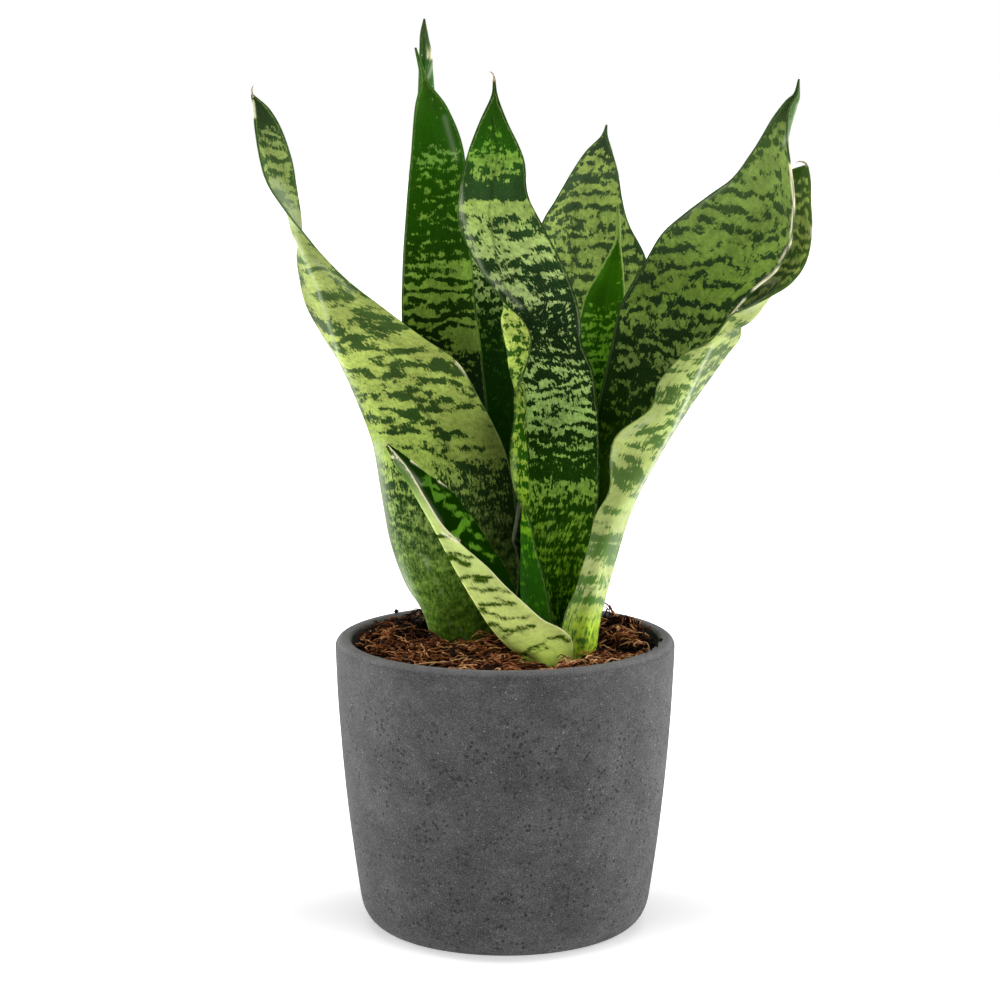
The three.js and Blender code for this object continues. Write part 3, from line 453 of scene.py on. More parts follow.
            (-10, 135.5, -3, 136, .6, 1), (-3, 136, 2, 135, .6, .9), (-9, 130, 3, 130, .6, 1),
            (-4, 132, 2, 131, .5, .8), (-9, 128, -3, 124.8, .7, 1), (-3, 124.8, 4, 124.6, .6, 1),
            (4, 124.6, 9, 125.2, .6, .9), (-6, 122, -2, 121, .6, .8), (-1, 120, 5, 119, .8, 1),
            (5, 120, 11, 121, .8, 1), (0, 117, 3, 119, .7, .9), (17, 116, 22, 117, .8, 1),
            (22, 116, 27, 115, .6, .9), (0, 113, 4, 110, 1.4, 1), (3, 111, 8, 109, .9, 1),
            (7, 110, 14, 113.5, .7, 1), (12, 110, 16, 112, .6, .9),
        ],
        "inner_strokes": [
            (-29.6, 179.5, -28.4, 173.2, 2.4, -1), (-24.9, 171.8, -24.5, 171.8, .8, -1),
            (-24, 175, -23.4, 174.6, .8, -1), (-27.2, 177.4, -26.2, 175, .9, -.9),
            (-22.5, 170, -21.5, 169, 1, -.9), (-20.6, 167.2, -19.4, 166.2, 1, -1),
            (-19.4, 157.6, -17.8, 162, 2.2, -1), (-15, 166, -13.6, 165.2, 1.1, -.9),
            (-10.8, 157.2, -9, 156.2, 1.3, -.8), (-13.9, 153.2, -12.3, 152.4, 1.2, -.8),
            (-7, 149.6, -5.4, 148.2, 1.1, -.7), (-16.4, 161.4, -15.2, 160.2, .9, -.8),
        ],
        "bloom_and_highlight": [(-44, 190, -34, 178, 1, .4), (-34, 176, -26, 163, .8, .2)],
        "scars": [
            (-46, 190, -42, 188.6, .2, .9), (-37, 187.6, -32, 184.5, .5, 1),
            (-26, 179.5, -21, 177, .6, 1), (-25, 159, -19, 155, .45, .8),
        ],
    },
    "sheath_small": {
        "ground": [(104, .6), (175, .4)],
        "bloom_and_highlight": [(3, 156, 5.6, 171, .4, .8)],
    },
}

# Displayed colours of each blade by height, as [z, red, green, blue] from 0 to 255: the "pale"
# ground and the "dark" bands, and outer_ variants where the outer face differs. Besides the
# blade's own colour they hold painted shade, darker low down among the blades and on faces
# turned into shade, and are dimmed where the side lamps light a blade strongly.
# - "rows": stretches of thin wavy bands, as (lowest z, highest z, spacing, strength, face).
# - "flecks" and "brush": stretches of small spots and of upright dashes, as (lowest z, highest z,
#   strength), and "streaks": the strength of longer dashes all the way up.
# - "ragged": how far large noise breaks up the bands, where 1 is LUMPS millimetres.
# - "crisp": what smaller noise and soft edges are multiplied by, and "soft": how soft the edges
#   of low bands are.
# - "margin": colour, width and strength of the outermost strip, and the strength of a pale line
#   just inside it. "margin_side" is -1 where it shows only at the left.
# - "gloss": the specular level.
LOOKS = {
    "leaf_left_twisted": {
        "pale": [[104, 140, 178, 56], [135, 150, 188, 80], [165, 148, 174, 90], [190, 148, 170, 76],
                 [235, 178, 194, 98], [275, 148, 162, 94], [300, 160, 178, 100], [328, 142, 166, 94]],
        "dark": [[104, 54, 106, 6], [130, 42, 86, 8], [160, 30, 60, 12], [195, 28, 58, 12],
                 [250, 72, 98, 46], [300, 72, 100, 52], [328, 42, 62, 28]],
        "rows": [(104, 190, 9, 0.5, "both"), (195, 280, 8, 1.1, "both"), (284, 318, 6, 1.0, "both")],
        "ragged": 0.5,
        "flecks": [(100, 176, 3), (182, 330, 2)],
        "streaks": 1.5,
        "brush": [(100, 182, 4.5)],
        "soft": 2.8,
        "margin": [[54, 82, 36], 0.4, 0.6, 0.6],
    },
    "leaf_left_back": {
        "pale": [[104, 70, 110, 24], [245, 138, 168, 70], [300, 130, 176, 66], [330, 146, 190, 112]],
        "dark": [[104, 10, 36, 2], [235, 16, 44, 2], [262, 30, 66, 4], [320, 44, 100, 8],
                 [338, 58, 100, 22]],
        "rows": [(215, 236, 5, 0.9, "both"), (234, 262, 4.8, 2.0, "both"),
                 (262, 300, 4.6, 1.0, "both"), (299, 313, 4, 0.9, "both")],
        "ragged": 1,
        "flecks": [(180, 315, 3)],
        "margin": [[70, 104, 44], 0.35, 0.5, 0.6],
    },
    "leaf_tall_back": {
        "pale": [[104, 60, 90, 30], [232, 84, 124, 44], [244, 136, 172, 84], [256, 210, 234, 152],
                 [350, 158, 196, 138]],
        "dark": [[104, 54, 120, 10], [200, 38, 86, 8], [250, 24, 60, 14], [340, 60, 110, 46],
                 [356, 74, 94, 56]],
        "rows": [(215, 262, 5, 0.9, "both")],
        "ragged": 1,
        "flecks": [(200, 270, 6)],
        "margin": [[70, 90, 48], 0.4, 0.6, 0.4],
    },
    "leaf_centre": {
        "pale": [[104, 104, 168, 16], [140, 148, 206, 40], [165, 154, 200, 66], [200, 154, 190, 98],
                 [255, 188, 212, 132], [290, 166, 192, 96], [312, 112, 160, 50], [334, 64, 108, 24]],
        "dark": [[104, 38, 82, 0], [160, 38, 86, 2], [200, 12, 40, 0], [250, 26, 52, 22],
                 [294, 46, 78, 36], [312, 36, 86, 6], [334, 38, 72, 12]],
        "outer_pale": [[104, 62, 138, 8], [156, 104, 168, 14], [172, 170, 208, 62], [200, 182, 212, 84],
                       [240, 180, 198, 94]],
        "outer_dark": [[104, 40, 96, 6], [170, 40, 100, 8], [240, 46, 84, 20]],
        "rows": [(104, 178, 6, 0.8, "both"), (186, 232, 4.8, 1.1, "inner"), (246, 290, 6, 0.8, "inner"),
                 (297, 308, 4.5, 0.9, "inner")],
        "ragged": 0.9,
        "flecks": [(184, 212, 3), (212, 250, 8), (250, 297, 2.5), (297, 330, 6)],
        "streaks": 3,
        "brush": [(100, 184, 7)],
        "margin": [[36, 62, 24], 0.4, 0.6, 0.6],
    },
    "leaf_right_back": {
        "pale": [[104, 120, 146, 56], [245, 184, 208, 112], [300, 184, 207, 106]],
        "dark": [[104, 40, 64, 26], [235, 64, 90, 50], [300, 78, 102, 69], [318, 52, 72, 50]],
        "rows": [(225, 311, 5.2, 0.8, "both")],
        "ragged": 1.1,
        "flecks": [(225, 315, 3)],
        "margin": [[64, 90, 50], 0.4, 0.5, 0.3],
    },
    "leaf_young": {
        "pale": [[104, 80, 130, 14], [200, 106, 160, 34], [250, 144, 200, 64]],
        "dark": [[104, 24, 72, 2], [220, 30, 78, 2], [262, 60, 116, 8], [282, 56, 100, 14],
                 [290, 40, 60, 20]],
        "rows": [(200, 250, 4, 1.0, "both")],
        "ragged": 1,
        "flecks": [(190, 252, 6)],
        "margin": [[150, 176, 90], 0.35, 0.7, 0],
    },
    "leaf_right": {
        "pale": [[104, 90, 140, 22], [200, 98, 130, 30], [226, 136, 162, 80], [255, 118, 148, 56],
                 [310, 134, 158, 80]],
        "dark": [[104, 72, 124, 12], [170, 80, 134, 14], [192, 50, 90, 12], [204, 28, 58, 10],
                 [255, 34, 56, 29], [310, 72, 96, 50], [330, 70, 92, 50]],
        "outer_pale": [[104, 110, 134, 70], [336, 102, 124, 82]],
        "outer_dark": [[104, 60, 84, 36], [336, 80, 108, 60]],
        "rows": [(190, 325, 6.8, 1.15, "both")],
        "ragged": 0.85,
        "flecks": [(150, 245, 5), (245, 325, 3)],
        "margin": [[48, 70, 34], 0.35, 0.5, 0.3],
    },
    "leaf_right_outer": {
        "pale": [[94, 110, 140, 50], [230, 162, 182, 86], [296, 196, 216, 108]],
        "dark": [[94, 50, 72, 26], [230, 66, 92, 36], [296, 80, 116, 40]],
        "outer_pale": [[94, 166, 206, 28], [122, 186, 214, 64], [135, 182, 192, 124],
                       [170, 154, 168, 98], [188, 170, 184, 106], [215, 168, 184, 110],
                       [260, 166, 178, 100]],
        "outer_dark": [[94, 72, 130, 12], [128, 88, 132, 48], [160, 88, 118, 56],
                       [200, 80, 110, 50], [215, 84, 112, 52], [300, 66, 92, 34]],
        "rows": [(94, 300, 5, 1.1, "inner"), (91, 130, 5, 0.35, "outer"), (130, 250, 8, 0.9, "outer")],
        "ragged": 0.5,
        "flecks": [(132, 300, 2.5)],
        "streaks": 5,
        "brush": [(90, 132, 6)],
        "crisp": 0.6,
        "margin": [[70, 92, 44], 0.35, 0.5, 0.4],
    },
    "leaf_front_small": {
        "pale": [[98, 58, 100, 14], [160, 80, 126, 30], [190, 62, 104, 32]],
        "dark": [[98, 6, 34, 0], [190, 14, 44, 0]],
        "outer_pale": [[91, 148, 178, 48], [106, 176, 200, 84], [122, 212, 226, 128],
                       [165, 180, 198, 120], [182, 76, 110, 40]],
        "outer_dark": [[91, 60, 86, 8], [190, 40, 72, 6]],
        "rows": [(104, 190, 5, 0.5, "inner")],
        "ragged": 0.12,
        "crisp": 0.4,
        "margin": [[214, 212, 170], 0.5, 0.9, 0],
        "margin_side": -1,
        "gloss": 0.0,
    },
    "sheath_small": {
        "pale": [[104, 44, 60, 34], [172, 52, 74, 40]],
        "dark": [[104, 14, 18, 8], [172, 12, 18, 8]],
        "rows": [(130, 172, 5, 0.6, "both")],
        "ragged": 1,
        "margin": [[120, 116, 84], 0.4, 0.5, 0],
    },
}

# Dried thread that each of these tips ends in: [x, z, y] points and the first radius.
THREADS = {
    "leaf_left_twisted": (
        [[-97.4, 329.5, 9.2], [-97.8, 331.4, 9.3], [-97.7, 333.2, 9], [-97, 334.2, 9]], 0.5,
    ),
    "leaf_centre": (
        [[-4.3, 335.5, 13.2], [-4.3, 337.4, 13.2], [-5, 338.8, 13], [-6.1, 339.4, 12.6]], 0.45,
    ),
    "leaf_right_outer": (
        [[117.2, 302.5, 8], [116.4, 304.2, 9], [114.6, 304.9, 9.6], [112.7, 304.6, 10]], 0.5,
    ),
    "leaf_front_small": ([[-46.2, 193.3, -38.8], [-46.6, 194.8, -38.8], [-46.2, 196.4, -38.4]], 0.4),
}
THREAD_END = 0.09  # the last radius
THREAD_POINTS = 24
THREAD_SIDES = 8

# Lightness of the leaves' painted tones under this light, and the most a tone may reflect.
LEAF_GAIN = 1.05
MOST_LIGHT = 0.9

# Coir
PILES = [  # loose coir on the bed: x, y, spread, height
    (-34, 28, 6, 5), (-46, 17, 10, 2), (40, 30, 4.5, 10), (48, 20, 9, 2.5), (57, 2, 6, 1.5),
]
PILE_CORE = 0.85  # how much of a pile is solid bed
CLODS = 240
FIBRES = 550
CRUMBS = 900
RIM_CRUMBS = [  # crumbs on the rim: x, y, size
    (-44.8, 44.8, 1.2), (54.5, -31, 0.9), (61.5, -10, 0.8), (59.5, -21, 0.6), (57, -27, 0.5),
]
FIBRE_CLEARANCE = 1.0  # between a fibre and a blade
NOISE_SHIFT = (17.3, 5.9, 11.1)  # between the noise of one seed and of the next


def curve_points(knots, positions):
    """Points at positions 0 to n - 1 on the smooth curves through n rows of knots."""
    first = 2 * knots[0] - knots[1]
    last = 2 * knots[-1] - knots[-2]
    padded = np.concatenate([[first], knots, [last]])
    spans = np.clip(np.floor(positions).astype(int), 0, len(knots) - 2)
    t = (positions - spans).reshape(-1, *[1] * (knots.ndim - 1))
    a, b, c, d = (padded[spans + k] for k in range(4))
    return b + 0.5 * t * (c - a + t * (2 * a - 5 * b + 4 * c - d + t * (3 * b - a - 3 * c + d)))


def place(measured, lean):
    """Measured [x, z, y] points, leaned, and moved along the line of sight to their own depth."""
    x, z, y = np.moveaxis(np.asarray(measured, float), -1, 0)
    depth = y + lean * np.maximum(0, (z - SOIL_LEVEL) / LEAN_HEIGHT) ** LEAN_CURVE
    reach = 1 + depth / VIEW_DISTANCE
    side = VIEW_SIDE + (x - VIEW_SIDE) * reach
    height = VIEW_HEIGHT + (z - VIEW_HEIGHT) * reach
    return np.stack([side, depth, height], -1)


def unit(vectors):
    return vectors / np.maximum(np.linalg.norm(vectors, axis=-1, keepdims=True), 1e-9)


def smooth_noise(points, size, seed):
    """Smooth noise from about -1 to 1, with lumps of about the given size."""
    shift = Vector([seed * part for part in NOISE_SHIFT])
    flat = points.reshape(-1, 3) / size
    values = [noise.noise(Vector(point) + shift) for point in flat]
    return np.array(values).reshape(points.shape[:-1])


def layered_noise(points, layers, seed, middle=0.0):
    """Smooth noise in layers of (size, strength), about the given middle."""
    parts = (
        strength * smooth_noise(points, size, seed + index)
        for index, (size, strength) in enumerate(layers)
    )
    return sum(parts, middle)


def linear(color):
    """A displayed colour, from 0 to 255, as a linear one from 0 to 1."""
    share = np.clip(np.asarray(color, float) / 255, 0, 1)
    return np.where(share <= 0.04045, share / 12.92, ((share + 0.055) / 1.055) ** 2.4)


def same_in_all(values):
    """One number for each point as a vector of three equal ones."""
    return np.stack([values, values, values], -1)


def ring_faces(rings, around):
    """Faces between neighbouring rings of points, each ring closed."""
    faces = []
    for i in range(rings - 1):
        for j in range(around):
            k = (j + 1) % around
            faces.append((i * around + j, i * around + k, (i + 1) * around + k, (i + 1) * around + j))
    return faces


def closed_faces(rings, around):
    """Faces of a closed body that is one point, then rings of points, then one more point."""
    top = 1 + rings * around
    faces = []
    for j in range(around):
        k = (j + 1) % around
        faces.append((0, 1 + k, 1 + j))
        for a in range(1, top - around, around):
            faces.append((a + j, a + k, a + around + k, a + around + j))
        faces.append((top - around + j, top - around + k, top))
    return faces


def add_mesh(name, vertices, faces, material, attributes=None):
    mesh = bpy.data.meshes.new(name)
    mesh.from_pydata((np.asarray(vertices) * MM).tolist(), [], faces)
    mesh.shade_smooth()
    for label, values in (attributes or {}).items():
        layer = mesh.attributes.new(label, "FLOAT_VECTOR", "POINT")
        layer.data.foreach_set("vector", np.asarray(values, np.float32).ravel())
    mesh.materials.append(material)
    piece = bpy.data.objects.new(name, mesh)
    bpy.context.scene.collection.objects.link(piece)
    return piece


def stand_for(piece, slot, *nodes):
    """The piece hangs on the root body and is shown in place of the solids named, if any; the slot is not
    used.
    """
    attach(piece, "root")
    if nodes:
        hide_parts(*nodes)


# ---------------------------------------------------------------- materials

class Graph:
    """A material's nodes, made call by call."""

    def __init__(self, name):
        self.material = bpy.data.materials.new(name)
        self.material.use_nodes = True
        self.tree = self.material.node_tree
        self.tree.nodes.clear()
        self.shader = self.node("BsdfPrincipled")
        output = self.node("OutputMaterial")
        self.tree.links.new(self.shader.outputs["BSDF"], output.inputs["Surface"])

    def node(self, kind, *inputs, **settings):
        """A new node with the given settings, and its first sockets fed."""
        node = self.tree.nodes.new("ShaderNode" + kind)
        for label, setting in settings.items():
            setattr(node, label, setting)
        for socket, value in zip(node.inputs, inputs):
            self.feed(socket, value)
        return node

    def feed(self, socket, value):
        if isinstance(value, bpy.types.NodeSocket):
            self.tree.links.new(value, socket)
        elif isinstance(value, (int, float)):
            socket.default_value = value
        elif len(socket.default_value) == 4:
            socket.default_value = (*value[:3], 1)
        else:
            socket.default_value = value

    def feed_all(self, node, **values):
        """Feed a node's sockets by label, with _ for each space."""
        for label, value in values.items():
            self.feed(node.inputs[label.replace("_", " ")], value)
        return node.outputs[0]

    def attribute(self, name):
        return self.split(self.node("Attribute", attribute_name=name).outputs["Vector"])

    def split(self, vector):
        return self.node("SeparateXYZ", vector).outputs

    def vector(self, x, y, z):
        return self.node("CombineXYZ", x, y, z).outputs[0]

    def position(self):
        """Where the point is on the object, in millimetres."""
        scale = self.node("VectorMath", self.node("TexCoord").outputs["Object"], operation="SCALE")
        return self.feed_all(scale, Scale=1 / MM)

    def math(self, operation, a, b=0.0, clamp=False):
        return self.node("Math", a, b, operation=operation, use_clamp=clamp).outputs[0]

    def total(self, *terms):
        return functools.reduce(functools.partial(self.math, "ADD"), terms)

    def product(self, *factors):
        return functools.reduce(functools.partial(self.math, "MULTIPLY"), factors)

    def step(self, value, low, high, start=0.0, end=1.0):
        """A smooth step: start below low, end above high."""
        node = self.node("MapRange", interpolation_type="SMOOTHSTEP")
        return self.feed_all(node, Value=value, From_Min=low, From_Max=high, To_Min=start, To_Max=end)

    def spread(self, noise_value, start, end):
        """Noise as a value from start to end."""
        return self.step(noise_value, *NOISE_RANGE, start, end)

    def noise(self, vector, scale, detail=2.0, roughness=0.5):
        node = self.node("TexNoise")
        return self.feed_all(node, Vector=vector, Scale=scale, Detail=detail, Roughness=roughness)

    def cells(self, vector, scale):
        """How far the point is from the nearest of many scattered centres."""
        return self.feed_all(self.node("TexVoronoi"), Vector=vector, Scale=scale)

    def mix(self, share, a, b, blend="MIX"):
        node = self.node("Mix", data_type="RGBA", blend_type=blend)
        for index, value in ((0, share), (6, a), (7, b)):
            self.feed(node.inputs[index], value)
        return node.outputs[2]

    def ramp(self, value, stops):
        """A colour by value; the stops are (value from 0 to 1, linear colour)."""
        node = self.node("ValToRGB", value)
        elements = node.color_ramp.elements
        while len(elements) < len(stops):
            elements.new(0.5)
        for element, (at, color) in zip(elements, stops):
            element.position = at
            element.color = (*color, 1)
        return node.outputs[0]

    def bump(self, height, depth):
        """Relief of the given depth in millimetres."""
        return self.feed_all(self.node("Bump"), Distance=depth * MM, Height=height)

    def finish(self, color, roughness, normal, **others):
        self.feed_all(self.shader, Base_Color=color, Roughness=roughness, Normal=normal, **others)
        return self.material


NOISE_RANGE = (0.3, 0.7)  # a material's noise seldom leaves it

# The blades' tones are given from LOWEST_LEVEL to LEVEL_RANGE above it.
LOWEST_LEVEL = 90
LEVEL_RANGE = 270

# Noise over a blade: its scale across and along the blade, and its detail.
GRAINS = {
    "lumps": (0.3, 0.36, 3.0),
    "teeth": (1.3, 0.55, 2.0),
    "comb": (2.8, 1.0, 2.0),
    "streaks": (1.7, 0.2, 2.0),
    "flecks": (0.75, 0.7, 3.0),
    "brush": (0.9, 0.3, 2.0),
    "rows": (0.07, 0.1, 2.0),
    "specks": (2.4, 1.6, 1.0),
    "blots": (0.4, 0.5, 2.0),
    "dabs": (1.2, 0.9, 2.0),
    "drift": (0.09, 0.06, 1.0),
    "lines": (5.0, 0.03, 3.0),
    "ridges": (2.6, 0.02, 3.0),
    "pores": (6.5, 0.5, 2.0),
    "sheen": (0.4, 0.15, 2.0),
}
BLADE_STEP = 3.1  # how far apart two blades lie in the noise
FACE_STEP = 7.0  # and the two faces of a blade

# How far noise shifts the edges of the bands, in millimetres, and how soft the edges are,
# softer low down than above.
LUMPS = 9.0
TEETH = 4.5
COMB = 2.5
ROW_DRIFT = 3.0
ROW_FADE = 3
SOFT_LEVELS = (140, 185)
SOFT_EDGE = 1.3
SHARP_EDGE = 0.4

# Small marks of the other tone: their noise, where it begins and where it is full, and the share.
PALE_MARKS = [("specks", 0.58, 0.72, 0.35), ("blots", 0.4, 0.66, 0.3), ("dabs", 0.42, 0.68, 0.22)]
DARK_MARKS = ("specks", 0.4, 0.28, 0.16)

# What lightness is multiplied by: in a slow drift, in fine lines that run along the blade, and
# from DEEPEST outside a band to DEEPEST inside it.
DRIFT_SHADES = (0.86, 1.12)
LINE_SHADES = (0.93, 1.06)
BAND_SHADES = (1.1, 0.84)
DEEPEST = 3.0

# Displayed colours, and how much of them shows at most: the bloom's is partly waxy bloom and partly
# a painted highlight, and the crease's is painted shade.
BLOOM_HIGHLIGHT_COLOR = (186, 198, 166)
CREASE_SHADE_COLOR = (34, 52, 18)
INNER_LINE_COLOR = (150, 172, 96)
SCAR_COLORS = ((255, 252, 214), (228, 204, 150))
SCAR_PATCHES = (0.56, 0.64)
BLOOM_HIGHLIGHT_SHARE = 0.6
CREASE_SHADE_SHARE = 0.7
INNER_LINE_SHARE = 0.6

# The margin's width wanders by MARGIN_WANDER millimetres either way. Where it fades out, and
# where the pale line beside it fades in and out, is given in multiples of that width. A margin
# that shows on one side fades out SIDE_BLEND either side of the blade's middle.
MARGIN_WANDER = 0.3
MARGIN_FADE = (1.3, 0.7)
LINE_START = (0.8, 1.3)
LINE_END = (2.6, 1.6)
SIDE_BLEND = 0.3

RIDGE_DEPTH = 0.12
RIDGE_SHARE = 0.7  # and the rest of that depth is pores
LEAF_ROUGHNESS = (0.34, 0.46)
SCAR_ROUGHNESS = 0.25
LEAF_GLOSS = 0.035


def tone_ramp(graph, share, stops):
    ramp_stops = []
    for z, *color in stops:
        at = min(max((z - LOWEST_LEVEL) / LEVEL_RANGE, 0), 1)
        ramp_stops.append((at, np.clip(linear(color) * LEAF_GAIN, 0, MOST_LIGHT)))
    return graph.ramp(share, ramp_stops)


def leaf_material(name, seed):
    look = LOOKS[name]
    graph = Graph(name)
    across, along, edge = graph.attribute("blade")
    dark, bloom_and_highlight, crease = graph.attribute("paint")
    scar, level, face = graph.attribute("skin")
    painted_shade = graph.attribute("shade")[0]
    depth_in_noise = graph.total(graph.product(face, FACE_STEP), seed * BLADE_STEP)
    height = graph.math("DIVIDE", graph.math("SUBTRACT", level, LOWEST_LEVEL), LEVEL_RANGE)
    crisp = look.get("crisp", 1.0)

    @functools.cache
    def grain(kind):
        across_scale, along_scale, detail = GRAINS[kind]
        place_on = graph.vector(
            graph.product(across, across_scale), graph.product(along, along_scale), depth_in_noise,
        )
        return graph.noise(place_on, 1.0, detail)

    def shifts(kind, reach):
        return graph.product(graph.math("SUBTRACT", grain(kind), 0.5), reach)

    def stretch(low, high):
        return graph.product(
            graph.step(level, low - ROW_FADE, low + ROW_FADE),
            graph.step(level, high + ROW_FADE, high - ROW_FADE),
        )

    def tones(key):
        tone = tone_ramp(graph, height, look[key])
        if "outer_" + key in look:
            tone = graph.mix(face, tone, tone_ramp(graph, height, look["outer_" + key]))
        return tone

    # How far inside a band the point is: noise makes the edges ragged, and waves add thin rows.
    inside = graph.total(
        shifts("lumps", LUMPS * look["ragged"]),
        shifts("teeth", TEETH * crisp),
        shifts("comb", COMB * crisp),
        shifts("streaks", look.get("streaks", 0.0)),
        dark,
    )
    for kind in ("flecks", "brush"):
        for low, high, strength in look.get(kind, []):
            inside = graph.total(inside, graph.product(shifts(kind, strength), stretch(low, high)))
    row_drift = shifts("rows", ROW_DRIFT)
    face_shares = {"outer": face, "inner": graph.math("SUBTRACT", 1.0, face)}
    for low, high, spacing, strength, side in look["rows"]:
        turns = graph.total(graph.math("DIVIDE", level, spacing), row_drift)
        wave = graph.product(graph.math("COSINE", graph.product(turns, 2 * math.pi)), strength)
        span = stretch(low, high)
        if side in face_shares:
            span = graph.product(span, face_shares[side])
        inside = graph.total(inside, graph.product(wave, span))
    softness = graph.step(level, *SOFT_LEVELS, look.get("soft", SOFT_EDGE) * crisp, SHARP_EDGE)
    mask = graph.step(inside, graph.product(softness, -1.0), softness)

    pale, deep = tones("pale"), tones("dark")
    for kind, low, high, share in PALE_MARKS:
        pale = graph.mix(graph.step(grain(kind), low, high, 0, share * crisp), pale, deep)
    kind, low, high, share = DARK_MARKS
    deep = graph.mix(graph.step(grain(kind), low, high, 0, share), deep, pale)
    color = graph.mix(mask, pale, deep)
    # Lightness: slow drift and fine lines of the blade's own tone, the painted shade, and darker deep
    # inside a band.
    shade = graph.product(
        graph.spread(grain("drift"), *DRIFT_SHADES),
        graph.spread(grain("lines"), *LINE_SHADES),
        graph.math("SUBTRACT", 1.0, painted_shade),
        graph.step(inside, -DEEPEST, DEEPEST, *BAND_SHADES),
    )
    color = graph.mix(1.0, color, graph.vector(shade, shade, shade), "MULTIPLY")
    # Pale bloom, partly the leaf's wax and partly a painted highlight.
    color = graph.mix(graph.product(bloom_and_highlight, BLOOM_HIGHLIGHT_SHARE), color, linear(BLOOM_HIGHLIGHT_COLOR))
    # Painted shade in the creases and folds.
    color = graph.mix(graph.product(crease, CREASE_SHADE_SHARE), color, linear(CREASE_SHADE_COLOR))

    margin, width, strength, inner_line = look["margin"]
    ragged = graph.total(edge, graph.spread(grain("teeth"), -MARGIN_WANDER, MARGIN_WANDER))

    def fade(start, end):
        return graph.step(ragged, width * start, width * end)

    line = graph.product(fade(*LINE_START), fade(*LINE_END), inner_line * INNER_LINE_SHARE)
    color = graph.mix(line, color, linear(INNER_LINE_COLOR))
    rim = graph.product(fade(*MARGIN_FADE), strength)
    if "margin_side" in look:
        to_side = graph.product(across, look["margin_side"])
        rim = graph.product(rim, graph.step(to_side, -SIDE_BLEND, SIDE_BLEND))
    color = graph.mix(rim, color, linear(margin))
    patches = graph.step(grain("comb"), *SCAR_PATCHES)
    color = graph.mix(scar, color, graph.mix(patches, *map(linear, SCAR_COLORS)))

    ridges = graph.total(
        graph.product(grain("ridges"), RIDGE_SHARE), graph.product(grain("pores"), 1 - RIDGE_SHARE),
    )
    roughness = graph.spread(grain("sheen"), *LEAF_ROUGHNESS)
    roughness = graph.total(roughness, graph.product(scar, SCAR_ROUGHNESS))
    return graph.finish(
        color, roughness, graph.bump(ridges, RIDGE_DEPTH),
        Subsurface_Weight=0.05, Subsurface_Radius=(0.4, 1.0, 0.15), Subsurface_Scale=0.002,
        Specular_IOR_Level=look.get("gloss", LEAF_GLOSS),
    )


# Grey of the cement, and how noise changes it: its scale, detail and roughness, and the change
# where it is lowest and highest.
CEMENT_GREY = 0.046
CLOUD = (0.055, 3.0, 0.6, -0.016, 0.016)
MOTTLE = (0.2, 5.0, 0.7, -0.02, 0.02)
SAND = (2.0, 4.0, 0.8, -0.07, 0.08)
SAND_STRETCH = 1.8  # mottles, sand and pores are this much wider than they are tall
# The rim's top flat is painted lighter, as painted light from the lamps above.
RIM_LIGHT_BAND = (2.2, 0.4)  # depths below the top between which the rim turns paler
RIM_PAINTED_LIGHT = 0.075
# Specks: cells to a millimetre, how far from a cell's centre a speck ends and where it is full,
# then the scale and detail of the noise that thins them out, and where none and all are left.
SMALL_SAND = (0.9, 0.24, 0.12, 0.9, 1.0, 0.48, 0.6)
LARGE_SAND = (0.28, 0.13, 0.08, 0.35, 1.0, 0.54, 0.62)
PITS = (0.45, 0.32, 0.24, 0.12, 2.0, 0.46, 0.54)
PORES = (1.2, 0.36, 0.26, 0.4, 1.0, 0.46, 0.56)
PORE_SHARE = 0.7
DENSE_BAND = (2, 30)  # depths below the top between which pits become common
DENSE_SHARE = 0.15
# The most that shows of each sand grain's colour, and of the painted shade in the holes; linear colours.
SAND_COLORS = ((0.6, (0.38, 0.37, 0.36)), (0.5, (0.36, 0.35, 0.34)))
HOLE_SHADE_COLOR = (0.95, (0.004, 0.004, 0.004))
CEMENT_TINT = (1.0, 0.99, 1.0)
CEMENT_HEIGHTS = (0.6, 0.4, -1.5, 0.2)  # of sand, mottle, holes and small grains in the relief
CEMENT_ROUGHNESS = (0.78, 0.92)


